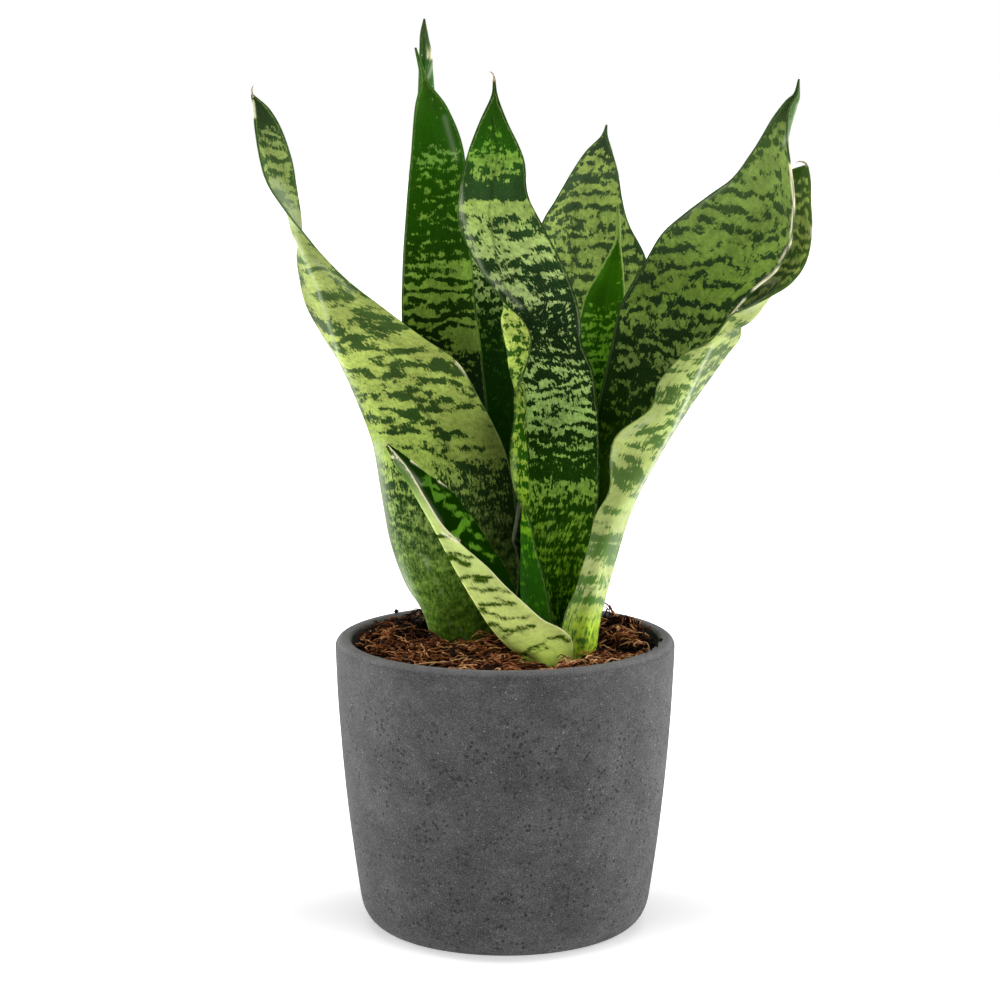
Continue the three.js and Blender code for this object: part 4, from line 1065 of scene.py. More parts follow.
def cement_material():
    graph = Graph("cement")
    place_on = graph.position()
    x, y, height = graph.split(place_on)
    flat_on = graph.vector(x, y, graph.product(height, SAND_STRETCH))

    def layer(vector, scale, detail, roughness, *shades):
        grain = graph.noise(vector, scale, detail, roughness)
        return grain, graph.spread(grain, *shades)

    def specks(vector, scale, end, full, mask_scale, mask_detail, low, high):
        cells = graph.step(graph.cells(vector, scale), end, full)
        return graph.product(cells, graph.step(graph.noise(place_on, mask_scale, mask_detail), low, high))

    def below_top(start, end, *values):
        return graph.step(height, POT_HEIGHT - start, POT_HEIGHT - end, *values)

    mottle, mottle_shade = layer(flat_on, *MOTTLE)
    sand, sand_shade = layer(flat_on, *SAND)
    # Grey with cloud, mottle and sand, and painted light on the rim's top flat.
    value = graph.total(
        layer(place_on, *CLOUD)[1], mottle_shade, sand_shade, CEMENT_GREY,
        graph.product(below_top(*RIM_LIGHT_BAND), RIM_PAINTED_LIGHT),
    )
    color = graph.mix(1.0, graph.vector(value, value, value), CEMENT_TINT, "MULTIPLY")
    # Pale grains of sand, most of them tiny, and a few larger ones.
    grains = specks(place_on, *SMALL_SAND), specks(place_on, *LARGE_SAND)
    for grain, (share, tone) in zip(grains, SAND_COLORS):
        color = graph.mix(graph.product(grain, share), color, tone)
    # Small pits, pressed in and painted near black as the shade inside them, fewer near the rim, where the
    # cast is denser.
    pores = graph.product(specks(flat_on, *PORES), PORE_SHARE)
    holes = graph.math("MAXIMUM", specks(place_on, *PITS), pores)
    holes = graph.product(holes, below_top(*DENSE_BAND, DENSE_SHARE, 1.0))
    color = graph.mix(graph.product(holes, HOLE_SHADE_COLOR[0]), color, HOLE_SHADE_COLOR[1])
    heights = map(graph.product, (sand, mottle, holes, grains[0]), CEMENT_HEIGHTS)
    relief = graph.bump(graph.total(*heights), depth=0.25)
    roughness = graph.spread(mottle, *CEMENT_ROUGHNESS)
    return graph.finish(color, roughness, relief, Specular_IOR_Level=0.7)


# Displayed colours of coir, from dark to light, and of the bed below it, kept near black as painted shade
# in the hollows under the fibres.
COIR_STOPS = [
    (0.0, (20, 10, 5)), (0.3, (54, 29, 15)), (0.55, (108, 60, 32)), (0.8, (186, 116, 68)),
    (1.0, (236, 182, 128)),
]
BED_SHADE_STOPS = [(0.3, (5, 2, 1)), (0.5, (14, 7, 4)), (0.62, (36, 18, 10)), (0.75, (80, 46, 26))]
THREAD_COLORS = ((104, 84, 56), (190, 170, 128))

# Noise in them: its scale, detail and roughness.
COIR_TONES = (0.9, 2.0)
COIR_GRAIN = (3.5, 3.0)
BED_CLUMPS = (0.45, 4.0, 0.7)
BED_GRAINS = (1.8, 3.0, 0.7)
THREAD_GRAIN = (1.4, 2.0)

COIR_DRIFT = 0.12  # how far a fibre's tone drifts either way
COIR_ROUGHNESS = (0.7, 0.95)
BED_TONES = (0.6, 0.5, -0.05)  # shares of clumps and grains in the bed's tone, and what is added
GRAIN_HEIGHT = 0.6  # of grains in the bed's relief, where clumps are 1
THREAD_PATCHES = (0.4, 0.6)


def linear_stops(stops):
    return [(at, linear(color)) for at, color in stops]


def coir_material(name, darker):
    """Coir whose colour is drawn for each fibre or crumb from the attribute "tone"."""
    graph = Graph(name)
    position = graph.position()
    drift = graph.spread(graph.noise(position, *COIR_TONES), -COIR_DRIFT, COIR_DRIFT)
    shift = graph.math("SUBTRACT", drift, darker)
    share = graph.math("ADD", graph.attribute("tone")[0], shift, clamp=True)
    color = graph.ramp(share, linear_stops(COIR_STOPS))
    grain = graph.noise(position, *COIR_GRAIN)
    roughness = graph.spread(grain, *COIR_ROUGHNESS)
    return graph.finish(color, roughness, graph.bump(grain, depth=0.2), Specular_IOR_Level=0.12)


def soil_material():
    graph = Graph("coir_bed")
    position = graph.position()
    clumps = graph.noise(position, *BED_CLUMPS)
    grains = graph.noise(position, *BED_GRAINS)
    clump_share, grain_share, added = BED_TONES
    share = graph.total(graph.product(clumps, clump_share), graph.product(grains, grain_share), added)
    # Painted shade: the bed stays near black, as the hollows under the fibres are.
    color = graph.ramp(share, linear_stops(BED_SHADE_STOPS))
    height = graph.total(clumps, graph.product(grains, GRAIN_HEIGHT))
    relief = graph.bump(height, depth=1.2)
    return graph.finish(color, roughness=0.95, normal=relief, Specular_IOR_Level=0.05)


def thread_material():
    graph = Graph("dry_thread")
    grain = graph.noise(graph.position(), *THREAD_GRAIN)
    color = graph.mix(graph.step(grain, *THREAD_PATCHES), *map(linear, THREAD_COLORS))
    return graph.finish(color, roughness=0.7, normal=graph.bump(grain, depth=0.1))


# The floor is white from the farther of these distances from the pot's axis, and glows less
# near the pot: least beside and behind it, and more before it.
GLOW_DISTANCES = (42, 320)
GLOW_START = (0.22, 0.6)
FRONT_OF_POT = (15, -60)  # y, from beside the pot to before it
FLOOR_GRAIN = (0.02, 2.0)
FLOOR_WHITES = (0.895, 0.905)


def floor_material():
    """White, and lit from within far from the pot, where the floor runs on into the backdrop."""
    graph = Graph("studio_floor")
    position = graph.position()
    x, y, _ = graph.split(position)
    distance = graph.math("SQRT", graph.total(graph.product(x, x), graph.product(y, y)))
    start = graph.step(y, *FRONT_OF_POT, *GLOW_START)
    glow = graph.step(distance, *GLOW_DISTANCES, start, 1.0)
    grain = graph.noise(position, *FLOOR_GRAIN)
    white = graph.spread(grain, *FLOOR_WHITES)
    return graph.finish(
        graph.vector(white, white, white), roughness=0.6, normal=graph.bump(grain, depth=0.01),
        Specular_IOR_Level=0.1, Emission_Color=(1, 1, 1), Emission_Strength=glow,
    )


# ---------------------------------------------------------------- leaves

GROUND_RANGE = 4.4  # how much farther inside a band the darkest ground counts than the palest
FINE_STEPS = 60  # from one cross-section to the next, where the blade's length is measured

# Noise stirs the painted places: how far, and the sizes of its lumps, one for x, and a large and
# a fine one for z. The two faces of a blade lie FACES_APART in that noise.
WARP = 0.8
WARP_SIZES = (5.0, 4.0, 1.8)
FINE_WARP = 0.5
WARP_SEED = 21
FACES_APART = 40.0

BORDER_FADE = 4  # over this height a border starts and ends
WEAKEST_STROKE = 0.35  # height of a stroke without strength, as a share of its full height
STROKE_ENDS = 0.6  # how fast a stroke runs out past its ends, where its sides are 1
CREASE_DEPTH = 0.3
WAVE_DEPTH = 0.2
WAVE_SIZE = 14
THIN_TIP = 0.35  # thickness of the margins at the tip, as a share of that below
MARGIN_PULL = 0.4  # at most this share of the last step to the margin is rounded off
ROLL_BLEND = 0.8  # the colours of a rolled margin fade over this width
ROLL_FADE = 2.0  # and over this height at its ends
BASE_REACH = 25  # loose coir is kept clear of a blade up to this far above the soil
STEEP = 0.9  # a tube that rises more than this for its length is turned about another axis


def add_strokes(dark, x, z, strokes):
    """The distance inside the nearest dark band, once the strokes are drawn; pale ones cut."""
    for x0, z0, x1, z1, half, strength in strokes:
        share = np.clip((x - x0) / max(x1 - x0, 0.1), 0, 1)
        rise = z - z0 - (z1 - z0) * share
        outside = np.maximum(0, np.maximum(x0 - x, x - x1))
        reach = half * (WEAKEST_STROKE + (1 - WEAKEST_STROKE) * abs(strength))
        inside = reach - np.hypot(rise, STROKE_ENDS * outside)
        dark = np.maximum(dark, inside) if strength > 0 else np.minimum(dark, -inside)
    return dark


def line_marks(x, z, lines):
    """How strongly each point is marked by straight lines (x, z, x, z, half width, strength)."""
    marks = np.zeros_like(x)
    for x0, z0, x1, z1, half, strength in lines:
        run, rise = x1 - x0, z1 - z0
        share = np.clip(((x - x0) * run + (z - z0) * rise) / (run ** 2 + rise ** 2), 0, 1)
        away = np.hypot(x - x0 - share * run, z - z0 - share * rise)
        marks = np.maximum(marks, strength * np.exp(-(away / half) ** 2))
    return marks


def blade_grid(name):
    """Rows of points on the blade's middle surface, where each was measured, and its share."""
    measured = np.array(LEAVES[name], float)
    placed = place(measured, BLADES[name][0])
    last = len(measured) - 1
    fine = np.linspace(0, last, FINE_STEPS * last + 1)
    spine = curve_points(placed.mean(axis=1), fine)
    arc = np.concatenate([[0], np.cumsum(np.linalg.norm(np.diff(spine, axis=0), axis=1))])
    rows = round(arc[-1] / ROW_SPACING)
    lengths = np.linspace(0, arc[-1], rows + 1)
    positions = np.interp(lengths, arc, fine)
    across = np.linspace(0, measured.shape[1] - 1, COLUMNS + 1)

    def surface(knots):
        rails = curve_points(knots, positions)
        return curve_points(rails.swapaxes(0, 1), across).swapaxes(0, 1)

    return surface(placed), surface(measured), positions / last, lengths


def bands(paint, x, z, edge, outer):
    """How far inside a dark band each point of a face is, with the places stirred a little."""
    flat = np.stack([x, np.full_like(x, FACES_APART * outer), z], -1)
    wide, tall, fine = (
        smooth_noise(flat, size, WARP_SEED + index) for index, size in enumerate(WARP_SIZES)
    )
    side = "outer_" if outer else "inner_"
    if side + "ground" not in paint:
        side = ""
    levels, amounts = zip(*paint[side + "ground"])
    warp_z = z + WARP * (tall + FINE_WARP * fine)
    dark = GROUND_RANGE * (np.interp(warp_z, levels, amounts) - 0.5)
    for low, high, reach, amount in paint.get("borders", []):
        near = np.clip(1 - edge / reach, 0, 1) * np.clip((z - low) / BORDER_FADE, 0, 1)
        dark = dark + amount * (near * np.clip((high - z) / BORDER_FADE, 0, 1))
    return add_strokes(dark, x + WARP * wide, warp_z, paint.get(side + "strokes", []))


def rolled_share(seam, x, z):
    """How far a point of the inner face has the outer one's colours, left of a seam of (z, x)."""
    levels, places = zip(*seam)
    inside = (np.interp(z, levels, places) - x) / ROLL_BLEND + 0.5
    ends = np.minimum(z - levels[0], levels[-1] - z) / ROLL_FADE
    return np.clip(np.minimum(inside, ends), 0, 1)


def blade_faces(rows):
    """Faces round the blade, and the ones that close its base and its tip."""
    around = 2 * (COLUMNS + 1) + 2
    faces = ring_faces(rows, around)
    for start, flip in ((0, False), ((rows - 1) * around, True)):
        left, right = start + around - 1, start + COLUMNS + 1
        caps = [(left, left - 1, start), (right, right - 1, right + 1)]
        for j in range(COLUMNS):
            back = left - 1 - j
            caps.append((start + j, back, back - 1, start + j + 1))
        faces += [cap[::-1] for cap in caps] if flip else caps
    return faces


def half_thickness(share):
    """Half the blade's thickness at each point, and the share of it that the tip leaves."""
    u = np.linspace(0, 1, COLUMNS + 1)
    tip = np.minimum(1, (1 - share) / TIP_STRETCH)[:, None]
    base = BASE_SWELL * np.maximum(0, 1 - share / BASE_STRETCH)[:, None] ** 2
    thin = THIN_TIP + (1 - THIN_TIP) * tip
    crown = (BLADE_THICKNESS - MARGIN_THICKNESS + base) * tip * (1 - (2 * u - 1) ** 2)
    return 0.5 * (MARGIN_THICKNESS * thin + crown), tip


def round_margins(face):
    """Pull a face's outermost points a little inwards."""
    for edge, inside in ((0, 1), (-1, -2)):
        step = face[:, inside] - face[:, edge]
        length = np.linalg.norm(step, axis=1, keepdims=True)
        pull = np.minimum(MARGIN_ROUNDING, MARGIN_PULL * length)
        face[:, edge] += step / np.maximum(length, 1e-6) * pull


def go_round(inner, outer, edges):
    """Rings of points round the blade: inner face, right edge, outer face, left edge."""
    parts = [inner, edges[:, -1:], outer[:, ::-1], edges[:, :1]]
    return np.concatenate(parts, axis=1).reshape(-1, 3)


def build_leaf(name, seed):
    """One blade. It returns the points near the soil, which the loose coir keeps clear of."""
    paint = PAINT[name]
    middle, measured, share, lengths = blade_grid(name)
    normal = unit(np.cross(np.gradient(middle, axis=1), np.gradient(middle, axis=0)))
    half, tip = half_thickness(share)
    waves = smooth_noise(middle, WAVE_SIZE, seed) * WAVE_DEPTH * tip
    middle = middle + normal * waves[..., None]

    spacing = np.linalg.norm(np.diff(middle, axis=1), axis=2)
    run = np.concatenate([np.zeros((len(middle), 1)), np.cumsum(spacing, axis=1)], axis=1)
    width = run[:, -1:]
    from_edge = np.minimum(run, width - run)
    along = np.broadcast_to(lengths[:, None], run.shape)
    blade = np.stack([run - width / 2, along, from_edge], -1)
    x, z = measured[..., 0], measured[..., 1]
    # Marks along lines: bloom, partly a painted highlight; creases; scars; and painted shade.
    bloom_and_highlight, crease, scar, painted_shade = (
        line_marks(x, z, paint.get(key, [])) for key in ("bloom_and_highlight", "creases", "scars", "shades")
    )

    sheets = []
    for outer in (False, True):
        dark = bands(paint, x, z, from_edge, outer)
        shown = np.full_like(x, float(outer))
        if "rolled" in paint and not outer:
            shown = rolled_share(paint["rolled"], x, z)
            dark = dark + shown * (bands(paint, x, z, from_edge, True) - dark)
        side = -1 if outer else 1
        face = middle + side * normal * (half - CREASE_DEPTH * crease * tip)[..., None]
        round_margins(face)
        sheets.append({
            "place": face,
            "blade": blade,
            "paint": np.stack([dark, bloom_and_highlight, crease], -1),
            "skin": np.stack([scar, z, shown], -1),
            "shade": same_in_all(painted_shade),
        })

    inner, outer = sheets
    vertices = go_round(inner.pop("place"), outer.pop("place"), middle)
    attributes = {
        label: go_round(inner[label], outer[label], 0.5 * (inner[label] + outer[label]))
        for label in inner
    }
    faces = blade_faces(len(middle))
    piece = add_mesh(name + "_blade", vertices, faces, leaf_material(name, seed), attributes)
    stand_for(piece, BLADES[name][1], name)
    return vertices[vertices[:, 2] < SOIL_LEVEL + BASE_REACH]


def tube(points, radii, sides):
    """A closed tube of the given radii along the points, with flat ends."""
    points = np.asarray(points, float)
    heading = unit(np.gradient(points, axis=0))
    steep = np.abs(heading[:, 2:]) > STEEP
    lift = np.where(steep, [[1.0, 0, 0]], [[0, 0, 1.0]])
    first = unit(np.cross(heading, lift))
    second = np.cross(heading, first)
    turn = (np.arange(sides) * 2 * np.pi / sides)[None, :, None]
    spread = np.cos(turn) * first[:, None] + np.sin(turn) * second[:, None]
    vertices = points[:, None] + spread * np.asarray(radii)[:, None, None]
    last = (len(points) - 1) * sides
    ends = [tuple(range(sides))[::-1], tuple(last + j for j in range(sides))]
    return vertices.reshape(-1, 3), ring_faces(len(points), sides) + ends


def build_thread(name, material):
    measured, radius = THREADS[name]
    knots = place(measured, BLADES[name][0])
    points = curve_points(knots, np.linspace(0, len(knots) - 1, THREAD_POINTS))
    radii = np.linspace(radius, THREAD_END, THREAD_POINTS)
    vertices, faces = tube(points, radii, THREAD_SIDES)
    stand_for(add_mesh(name + "_dry_tip", vertices, faces, material), "dry_sheath")


# ---------------------------------------------------------------- pot

# Steps along the profile: each rounding, the side, under the base, the inside and its floor.
ROUND_STEPS = 8
SIDE_STEPS = 44
BASE_STEPS = 11
INNER_STEPS = 15
FLOOR_STEPS = 7
WALL_RIPPLE = 0.12
RIPPLES = [(16, 0.5), (3.5, 0.25)]  # size and strength of the noise
RIPPLE_SEED = 3
MOST_RIPPLE = 1.2
STANDING = 0.5  # below this height the base stays flat
FOOT_STEP = 0.01  # the side's slope at the foot is measured over this share of it


def side_point(t):
    """Radius and height on the outside of the pot's side, from the foot (0) to the rim (1)."""
    radius = CORNER_RADIUS + (POT_RADIUS - CORNER_RADIUS) * t + SIDE_BULGE * 4 * t * (1 - t)
    return radius, CORNER_HEIGHT + (POT_HEIGHT - RIM_ROUNDING - CORNER_HEIGHT) * t


def inside_radius(height):
    t = (height - CORNER_HEIGHT) / (POT_HEIGHT - RIM_ROUNDING - CORNER_HEIGHT)
    return side_point(np.clip(t, 0, 1))[0] - POT_WALL


def bend(start, control, end, steps):
    """Points of the curve from start to end that leaves and arrives towards control."""
    t = np.linspace(0, 1, steps + 1)[1:, None]
    start, control, end = (np.asarray(point, float) for point in (start, control, end))
    return ((1 - t) ** 2 * start + 2 * t * (1 - t) * control + t ** 2 * end).tolist()


def pot_profile():
    foot, above = side_point(0), side_point(FOOT_STEP)
    slope = (above[0] - foot[0]) / (above[1] - foot[1])
    profile = [[radius, 0] for radius in np.linspace(0, FOOT_RADIUS, BASE_STEPS + 1)[1:]]
    profile += bend(profile[-1], (foot[0] - slope * foot[1], 0), foot, 2 * ROUND_STEPS)
    profile += [side_point(t) for t in np.linspace(0, 1, SIDE_STEPS + 1)[1:]]
    quarter = np.linspace(0, math.pi / 2, ROUND_STEPS + 1)
    for turn in quarter[1:]:
        radius = POT_RADIUS - RIM_ROUNDING * (1 - math.cos(turn))
        profile.append([radius, POT_HEIGHT - RIM_ROUNDING * (1 - math.sin(turn))])
    mouth = POT_RADIUS - POT_WALL
    for turn in quarter:
        radius = mouth + RIM_INNER_ROUNDING * (1 - math.sin(turn))
        profile.append([radius, POT_HEIGHT - RIM_INNER_ROUNDING * (1 - math.cos(turn))])
    inner_foot = POT_FLOOR + INNER_CORNER
    for height in np.linspace(POT_HEIGHT - RIM_INNER_ROUNDING, inner_foot, INNER_STEPS + 1)[1:]:
        profile.append([inside_radius(height), height])
    start = profile[-1]
    end = [start[0] - INNER_CORNER, POT_FLOOR]
    profile += bend(start, (start[0], POT_FLOOR), end, ROUND_STEPS // 2)
    profile += [[radius, POT_FLOOR] for radius in np.linspace(end[0], 0, FLOOR_STEPS + 1)[1:-1]]
    return profile


def lathe(profile, segments):
    """A closed turned body; the profile leaves out its two ends, which lie on the axis."""
    profile = np.array(profile)
    turn = np.arange(segments) * 2 * np.pi / segments
    radius, height = profile[:, 0, None], profile[:, 1, None]
    rings = np.stack([radius * np.cos(turn), radius * np.sin(turn), height + 0 * turn], -1)
    bottom, top = [0, 0, profile[0, 1]], [0, 0, profile[-1, 1]]
    vertices = np.concatenate([[bottom], rings.reshape(-1, 3), [top]])
    return vertices, closed_faces(len(profile), segments)


def build_pot():
    vertices, faces = lathe(pot_profile(), POT_SEGMENTS)
    ripple = layered_noise(vertices, RIPPLES, RIPPLE_SEED, 0.5)
    inward = 1 - WALL_RIPPLE * np.clip(ripple, 0, MOST_RIPPLE) / POT_RADIUS
    standing = vertices[:, 2] > STANDING
    vertices[standing, :2] *= inward[standing, None]
    stand_for(add_mesh("cement_pot", vertices, faces, cement_material()), "pot", "pot")


# ---------------------------------------------------------------- coir soil

# Waves of the soil's lumps, in millimetres to a radian: along x, what bends them, and along y
# and x together.
LUMP_WAVES = (4.1, 6.3, 4.7, 11)
LUMP_BEND = 1.3
BED_RELIEF = [(6.5, 2.6), (2.6, 1.6)]  # size and height of the noise
BED_SEED = 7
BED_DROP = 2.6  # the relief's middle lies this far below the CAD's top
BED_SHOULDER = 3  # the bed's side ends this far below the soil's level
SIDE_RINGS = 12
BASE_RINGS = 4

WALL_CLEARANCE = 0.8  # between the wall and loose coir
ON_RIM = (0.5, 2)  # this far above the rim it may lie over it, up to this far from its outer edge
COIR_SEED = 11

# At each step a fibre turns by its own curl and by some wobble, in radians, and its height is a
# little uneven. It bows upwards by a share of its rise.
FIBRE_STEP = 1.3
FEWEST_STEPS = 4
FIBRE_SIDES = 4
CURL = 0.2
WOBBLE = 0.3
UNEVENNESS = 0.15
BOW = (0.2, 1.0)
FIBRE_TAPER = 0.6  # how much thinner its ends are than its middle

# A clod is a dome of short fibres that share a rough heading and a tone.
CLOD_SIZES = (2, 5)
CLOD_HEIGHTS = (-3.3, 1.7)
# Higher clods are painted lighter and lower ones darker: painted light on the tops and painted shade in
# the hollows.
CLOD_TONE_AND_SHADE = (0.46, 0.11, 0.18)  # at no height, for each millimetre of height, and its spread
CLOD_FIBRES = 4.5  # for each millimetre of its size
CLOD_DOME = 0.5
CLOD_LENGTHS = (3, 8)
CLOD_TURN = 0.7
CLOD_RISE = 1.4
CLOD_RADII = [0.18, 0.24, 0.32, 0.42]
CLOD_TONE_SPREAD = 0.2

LOOSE_LENGTHS = (7, 23)
LOOSE_RISE = 2.0
LOOSE_HEIGHTS = (0, 1.6)
LOOSE_RADII = [0.16, 0.22, 0.3, 0.42]
LOOSE_TONE = (0.64, 0.32)  # middle and spread

CRUMB_SIZES = (0.4, 1.0)
CRUMB_EXTRAS = [0, 0, 0, 0, 0.8]  # one crumb in five is larger
CRUMB_HEIGHTS = (-0.4, 1.2)
CRUMB_ROOM = 0.4
CRUMB_TONE = (0.3, 0.2)
CRUMB_DARKER = 0.05
RIM_CRUMB_TONE = 0.15
CRUMB_RINGS = 4
CRUMB_SECTORS = 7
CRUMB_WIDTHS = (0.7, 1.3)
CRUMB_TALLNESS = (0.5, 0.9)
CRUMB_BUMPS = (0.55, 1.25)


def mounds(x, y, places, ground=0):
    """Height of round mounds, given as (x, y, spread, height), on the ground."""
    heights = (
        rise * np.exp(-((x - at_x) ** 2 + (y - at_y) ** 2) / spread ** 2)
        for at_x, at_y, spread, rise in places
    )
    return sum(heights, ground)


def bed_height(x, y):
    """The CAD soil's lumpy top: low at the front, heaped at the left and at the right."""
    x_wave, bend_wave, y_wave, slant_wave = LUMP_WAVES
    lumps = SOIL_LUMPS * np.sin(x / x_wave + LUMP_BEND * np.sin(y / bend_wave))
    return mounds(x, y, SOIL_HEAPS, SOIL_LEVEL + lumps * np.cos(y / y_wave + x / slant_wave))


def top_height(x, y):
    """Height of the loose coir heaped on the bed."""
    return float(bed_height(x, y) + mounds(x, y, PILES))


def build_soil():
    edge = inside_radius(SOIL_LEVEL) - SOIL_GAP
    lowest = POT_FLOOR + INNER_CORNER
    top_rings = [[edge * ring / SOIL_RINGS, SOIL_LEVEL] for ring in range(SOIL_RINGS, 0, -1)]
    side_levels = np.linspace(lowest, SOIL_LEVEL - BED_SHOULDER, SIDE_RINGS)
    side = [[inside_radius(height) - 2 * SOIL_GAP, height] for height in side_levels]
    base_radii = np.linspace(0, side[0][0] - INNER_CORNER, BASE_RINGS + 1)[1:]
    base = [[radius, POT_FLOOR + SOIL_GAP] for radius in base_radii]
    vertices, faces = lathe(base + side + top_rings, SOIL_SECTORS)
    top = vertices[:, 2] > SOIL_LEVEL - 1
    x, y, _ = vertices[top].T
    relief = layered_noise(vertices[top], BED_RELIEF, BED_SEED)
    vertices[top, 2] = bed_height(x, y) + PILE_CORE * mounds(x, y, PILES) + relief - BED_DROP
    stand_for(add_mesh("coir_bed", vertices, faces, soil_material()), "soil", "soil")


def coir_fibre(draw, start, length, heading, rise, lift):
    """The points of one curled fibre that lies on the coir, lifted by the given height."""
    steps = max(FEWEST_STEPS, round(length / FIBRE_STEP))
    curl = draw.gauss(0, CURL)
    x, y = start
    arch = draw.uniform(*BOW) * rise
    points = []
    for step in range(steps + 1):
        bow = arch * math.sin(math.pi * step / steps) + UNEVENNESS * draw.gauss(0, 1)
        points.append([x, y, top_height(x, y) + lift + bow])
        x += length / steps * math.cos(heading)
        y += length / steps * math.sin(heading)
        heading += curl + draw.gauss(0, WOBBLE)
    return np.array(points)


def build_coir(blade_points):
    """Clods of fibre, loose fibres and crumbs, clear of every blade and within the wall."""
    draw = random.Random(COIR_SEED)
    tree = KDTree(len(blade_points))
    for index, point in enumerate(blade_points):
        tree.insert(point, index)
    tree.balance()
    reach = inside_radius(POT_HEIGHT) - WALL_CLEARANCE

    def clear(points, radius):
        away = np.hypot(points[:, 0], points[:, 1])
        above_rim = points[:, 2] > POT_HEIGHT + radius + ON_RIM[0]
        if np.any(away > np.where(above_rim, POT_RADIUS - ON_RIM[1], reach - radius)):
            return False
        return all(tree.find(point)[2] > FIBRE_CLEARANCE + radius for point in points)

    def any_turn():
        return draw.uniform(0, 2 * math.pi)

    def in_disc(radius):
        """A place in a disc, and how far it is from the middle."""
        angle = any_turn()
        away = radius * math.sqrt(draw.uniform(0, 1))
        return away * math.cos(angle), away * math.sin(angle), away

    shapes, tones = [], []

    def lay(start, length, heading, rise, lift, radius, tone):
        points = coir_fibre(draw, start, length, heading, rise, lift)
        if clear(points, radius):
            ends = np.abs(np.linspace(-1, 1, len(points))) ** 3
            shapes.append(tube(points, radius * (1 - FIBRE_TAPER * ends), FIBRE_SIDES))
            tones.append(min(1, max(0, tone)))

    for _ in range(CLODS):
        centre_x, centre_y, _ = in_disc(reach)
        size = draw.uniform(*CLOD_SIZES)
        heading = any_turn()
        height = draw.uniform(*CLOD_HEIGHTS)
        # Painted shade: the lower a clod lies, the darker its tone.
        at_ground, shade_by_height, uneven = CLOD_TONE_AND_SHADE
        tone = at_ground + shade_by_height * height + draw.gauss(0, uneven)
        for _ in range(round(size * CLOD_FIBRES)):
            x, y, away = in_disc(size)
            lift = height + CLOD_DOME * math.sqrt(size ** 2 - away ** 2)
            length = draw.uniform(*CLOD_LENGTHS)
            lay((centre_x + x, centre_y + y), length, heading + draw.gauss(0, CLOD_TURN), CLOD_RISE,
                lift, draw.choice(CLOD_RADII), draw.gauss(tone, CLOD_TONE_SPREAD))
    for _ in range(FIBRES):
        length = draw.uniform(*LOOSE_LENGTHS)
        lay(in_disc(reach)[:2], length, any_turn(), LOOSE_RISE, draw.uniform(*LOOSE_HEIGHTS),
            draw.choice(LOOSE_RADII), draw.gauss(*LOOSE_TONE))
    add_loose("coir_fibres", shapes, tones, 0.0)

    shapes, tones = [], []
    for _ in range(CRUMBS):
        x, y, _ = in_disc(reach)
        size = draw.uniform(*CRUMB_SIZES) + draw.choice(CRUMB_EXTRAS)
        level = top_height(x, y) + draw.uniform(*CRUMB_HEIGHTS)
        if clear(np.array([[x, y, level]]), size + CRUMB_ROOM):
            shape, faces = crumb(draw, size)
            shapes.append((shape + [x, y, level], faces))
            tones.append(min(1, max(0, draw.gauss(*CRUMB_TONE))))
    for x, y, size in RIM_CRUMBS:
        shape, faces = crumb(draw, size)
        shapes.append((shape + [x, y, POT_HEIGHT - shape[:, 2].min()], faces))
        tones.append(RIM_CRUMB_TONE)
    add_loose("coir_crumbs", shapes, tones, CRUMB_DARKER)


def add_loose(name, shapes, tones, darker):
    """Many small closed shapes as one piece, each with its own tone."""
    counts = [len(vertices) for vertices, _ in shapes]
    faces = []
    for start, (_, group) in zip(np.cumsum([0] + counts), shapes):
        faces += [tuple(start + index for index in face) for face in group]
    vertices = np.concatenate([vertices for vertices, _ in shapes])
    tone = same_in_all(np.repeat(tones, counts))
    stand_for(add_mesh(name, vertices, faces, coir_material(name, darker), {"tone": tone}), "soil")


def crumb(draw, size):
    """A small irregular lump: rings of points at uneven distances round a centre."""
    ranges = (CRUMB_WIDTHS, CRUMB_WIDTHS, CRUMB_TALLNESS)
    stretch = np.array([draw.uniform(*limits) for limits in ranges])
    points = [[0, 0, -1]]
    for ring in range(1, CRUMB_RINGS + 1):
        tilt = math.pi * ring / (CRUMB_RINGS + 1)
        for sector in range(CRUMB_SECTORS):
            turn = 2 * math.pi * sector / CRUMB_SECTORS
            away = draw.uniform(*CRUMB_BUMPS)
            flat = math.sin(tilt) * away
            points.append([flat * math.cos(turn), flat * math.sin(turn), -math.cos(tilt) * away])
    points.append([0, 0, 1])
    return np.array(points) * stretch * size, closed_faces(CRUMB_RINGS, CRUMB_SECTORS)


# ---------------------------------------------------------------- studio

FLOOR_REACH = 5000
FLOOR_DROP = 0.1

# Soft lights: place and target in metres, width, height, and power in watts.
LIGHTS = {
    "soft_left": [(-1.0, 0.3, 0.25), (0, 0, 0.06), 0.6, 0.7, 9.6],
    "soft_right": [(1.0, 0.25, 0.25), (0, 0, 0.06), 0.8, 0.7, 10.4],
    "soft_top": [(0, -0.1, 1.4), (0, 0, 0), 1.2, 1.2, 7.0],
    "soft_front": [(0.7, -1.6, 1.0), (0, 0, 0.2), 1.2, 1.0, 1.4],
}

# The surroundings light the pot from in front with the first strength, and from behind with the
# second.
FRONT_LIGHT = 0.12
BACK_LIGHT = 0.75


def build_floor():
    signs = ((-1, -1), (1, -1), (1, 1), (-1, 1))
    corners = [[x * FLOOR_REACH, y * FLOOR_REACH, -FLOOR_DROP] for x, y in signs]
    add_mesh("floor", corners, [(0, 1, 2, 3)], floor_material())


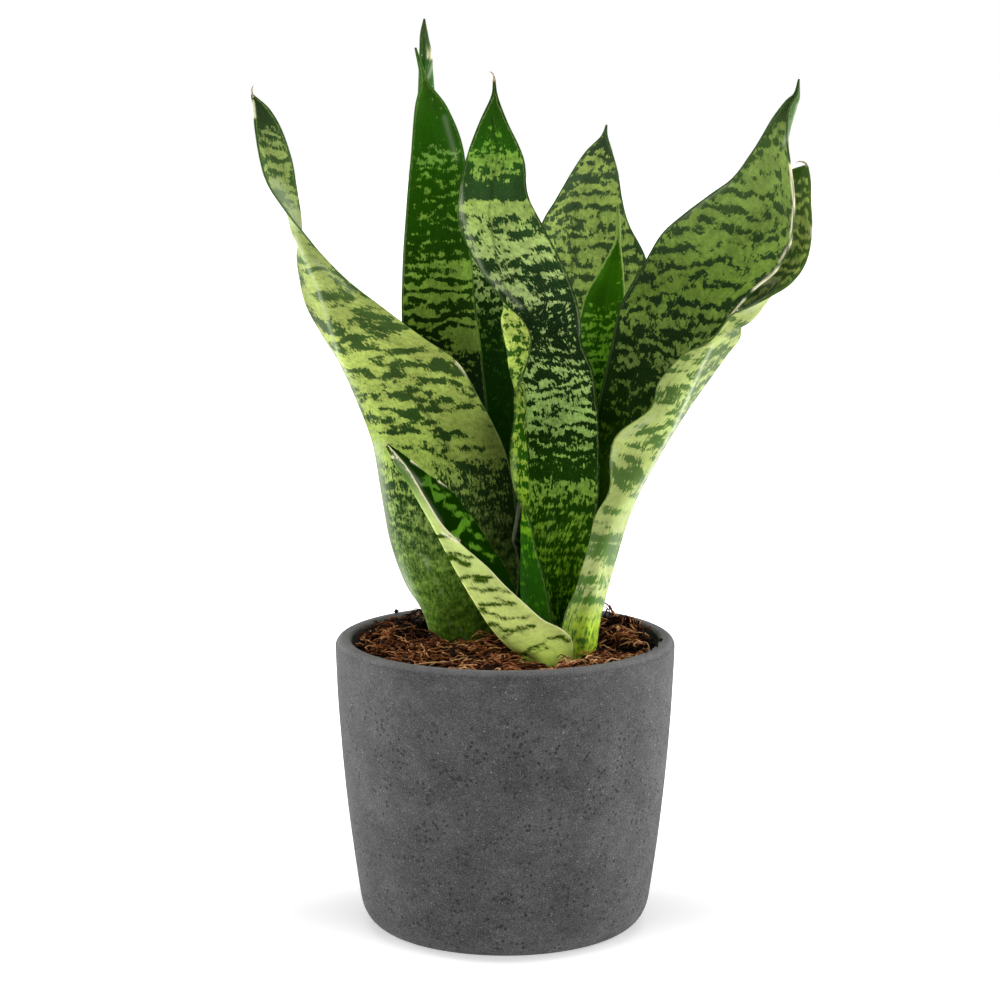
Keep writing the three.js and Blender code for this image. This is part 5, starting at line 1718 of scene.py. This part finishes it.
def build_lights():
    for name, (location, target, width, height, power) in LIGHTS.items():
        lamp = bpy.data.lights.new(name, "AREA")
        lamp.shape = "RECTANGLE"
        lamp.size = width
        lamp.size_y = height
        lamp.energy = power
        light = bpy.data.objects.new(name, lamp)
        light.location = location
        aim = Vector(target) - Vector(location)
        light.rotation_euler = aim.to_track_quat("-Z", "Y").to_euler()
        bpy.context.scene.collection.objects.link(light)


def build_world():
    """Surroundings that are white to look at, and light the pot more from behind."""
    world = bpy.data.worlds.new("studio")
    world.use_nodes = True
    tree = world.node_tree
    kinds = ("TexCoord", "SeparateXYZ", "MapRange", "LightPath", "Math")
    direction, parts, graded, path, strength = (tree.nodes.new("ShaderNode" + kind) for kind in kinds)
    for label, value in (("From Min", -1), ("To Min", FRONT_LIGHT), ("To Max", BACK_LIGHT)):
        graded.inputs[label].default_value = value
    strength.operation = "MAXIMUM"
    background = tree.nodes["Background"]
    background.inputs["Color"].default_value = (1, 1, 1, 1)
    for output, socket in (
        (direction.outputs["Generated"], parts.inputs[0]),
        (parts.outputs["Y"], graded.inputs["Value"]),
        (graded.outputs[0], strength.inputs[0]),
        (path.outputs["Is Camera Ray"], strength.inputs[1]),
        (strength.outputs[0], background.inputs["Strength"]),
    ):
        tree.links.new(output, socket)
    bpy.context.scene.world = world
    bpy.context.scene.view_settings.view_transform = "Standard"


def build_camera():
    camera = bpy.data.cameras.new("camera")
    camera.lens = LENS
    camera.sensor_width = SENSOR
    camera.clip_start, camera.clip_end = CLIP
    holder = bpy.data.objects.new("camera", camera)
    holder.location = (VIEW_SIDE * MM, -VIEW_DISTANCE * MM, VIEW_HEIGHT * MM)
    holder.rotation_euler = (math.pi / 2 - VIEW_PITCH, 0, 0)
    bpy.context.scene.collection.objects.link(holder)
    bpy.context.scene.camera = holder


build_camera()
build_floor()
build_lights()
build_world()
build_pot()
build_soil()
bases = [build_leaf(name, seed) for seed, name in enumerate(LEAVES)]
build_coir(np.concatenate(bases))
thread = thread_material()
for leaf in THREADS:
    build_thread(leaf, thread)
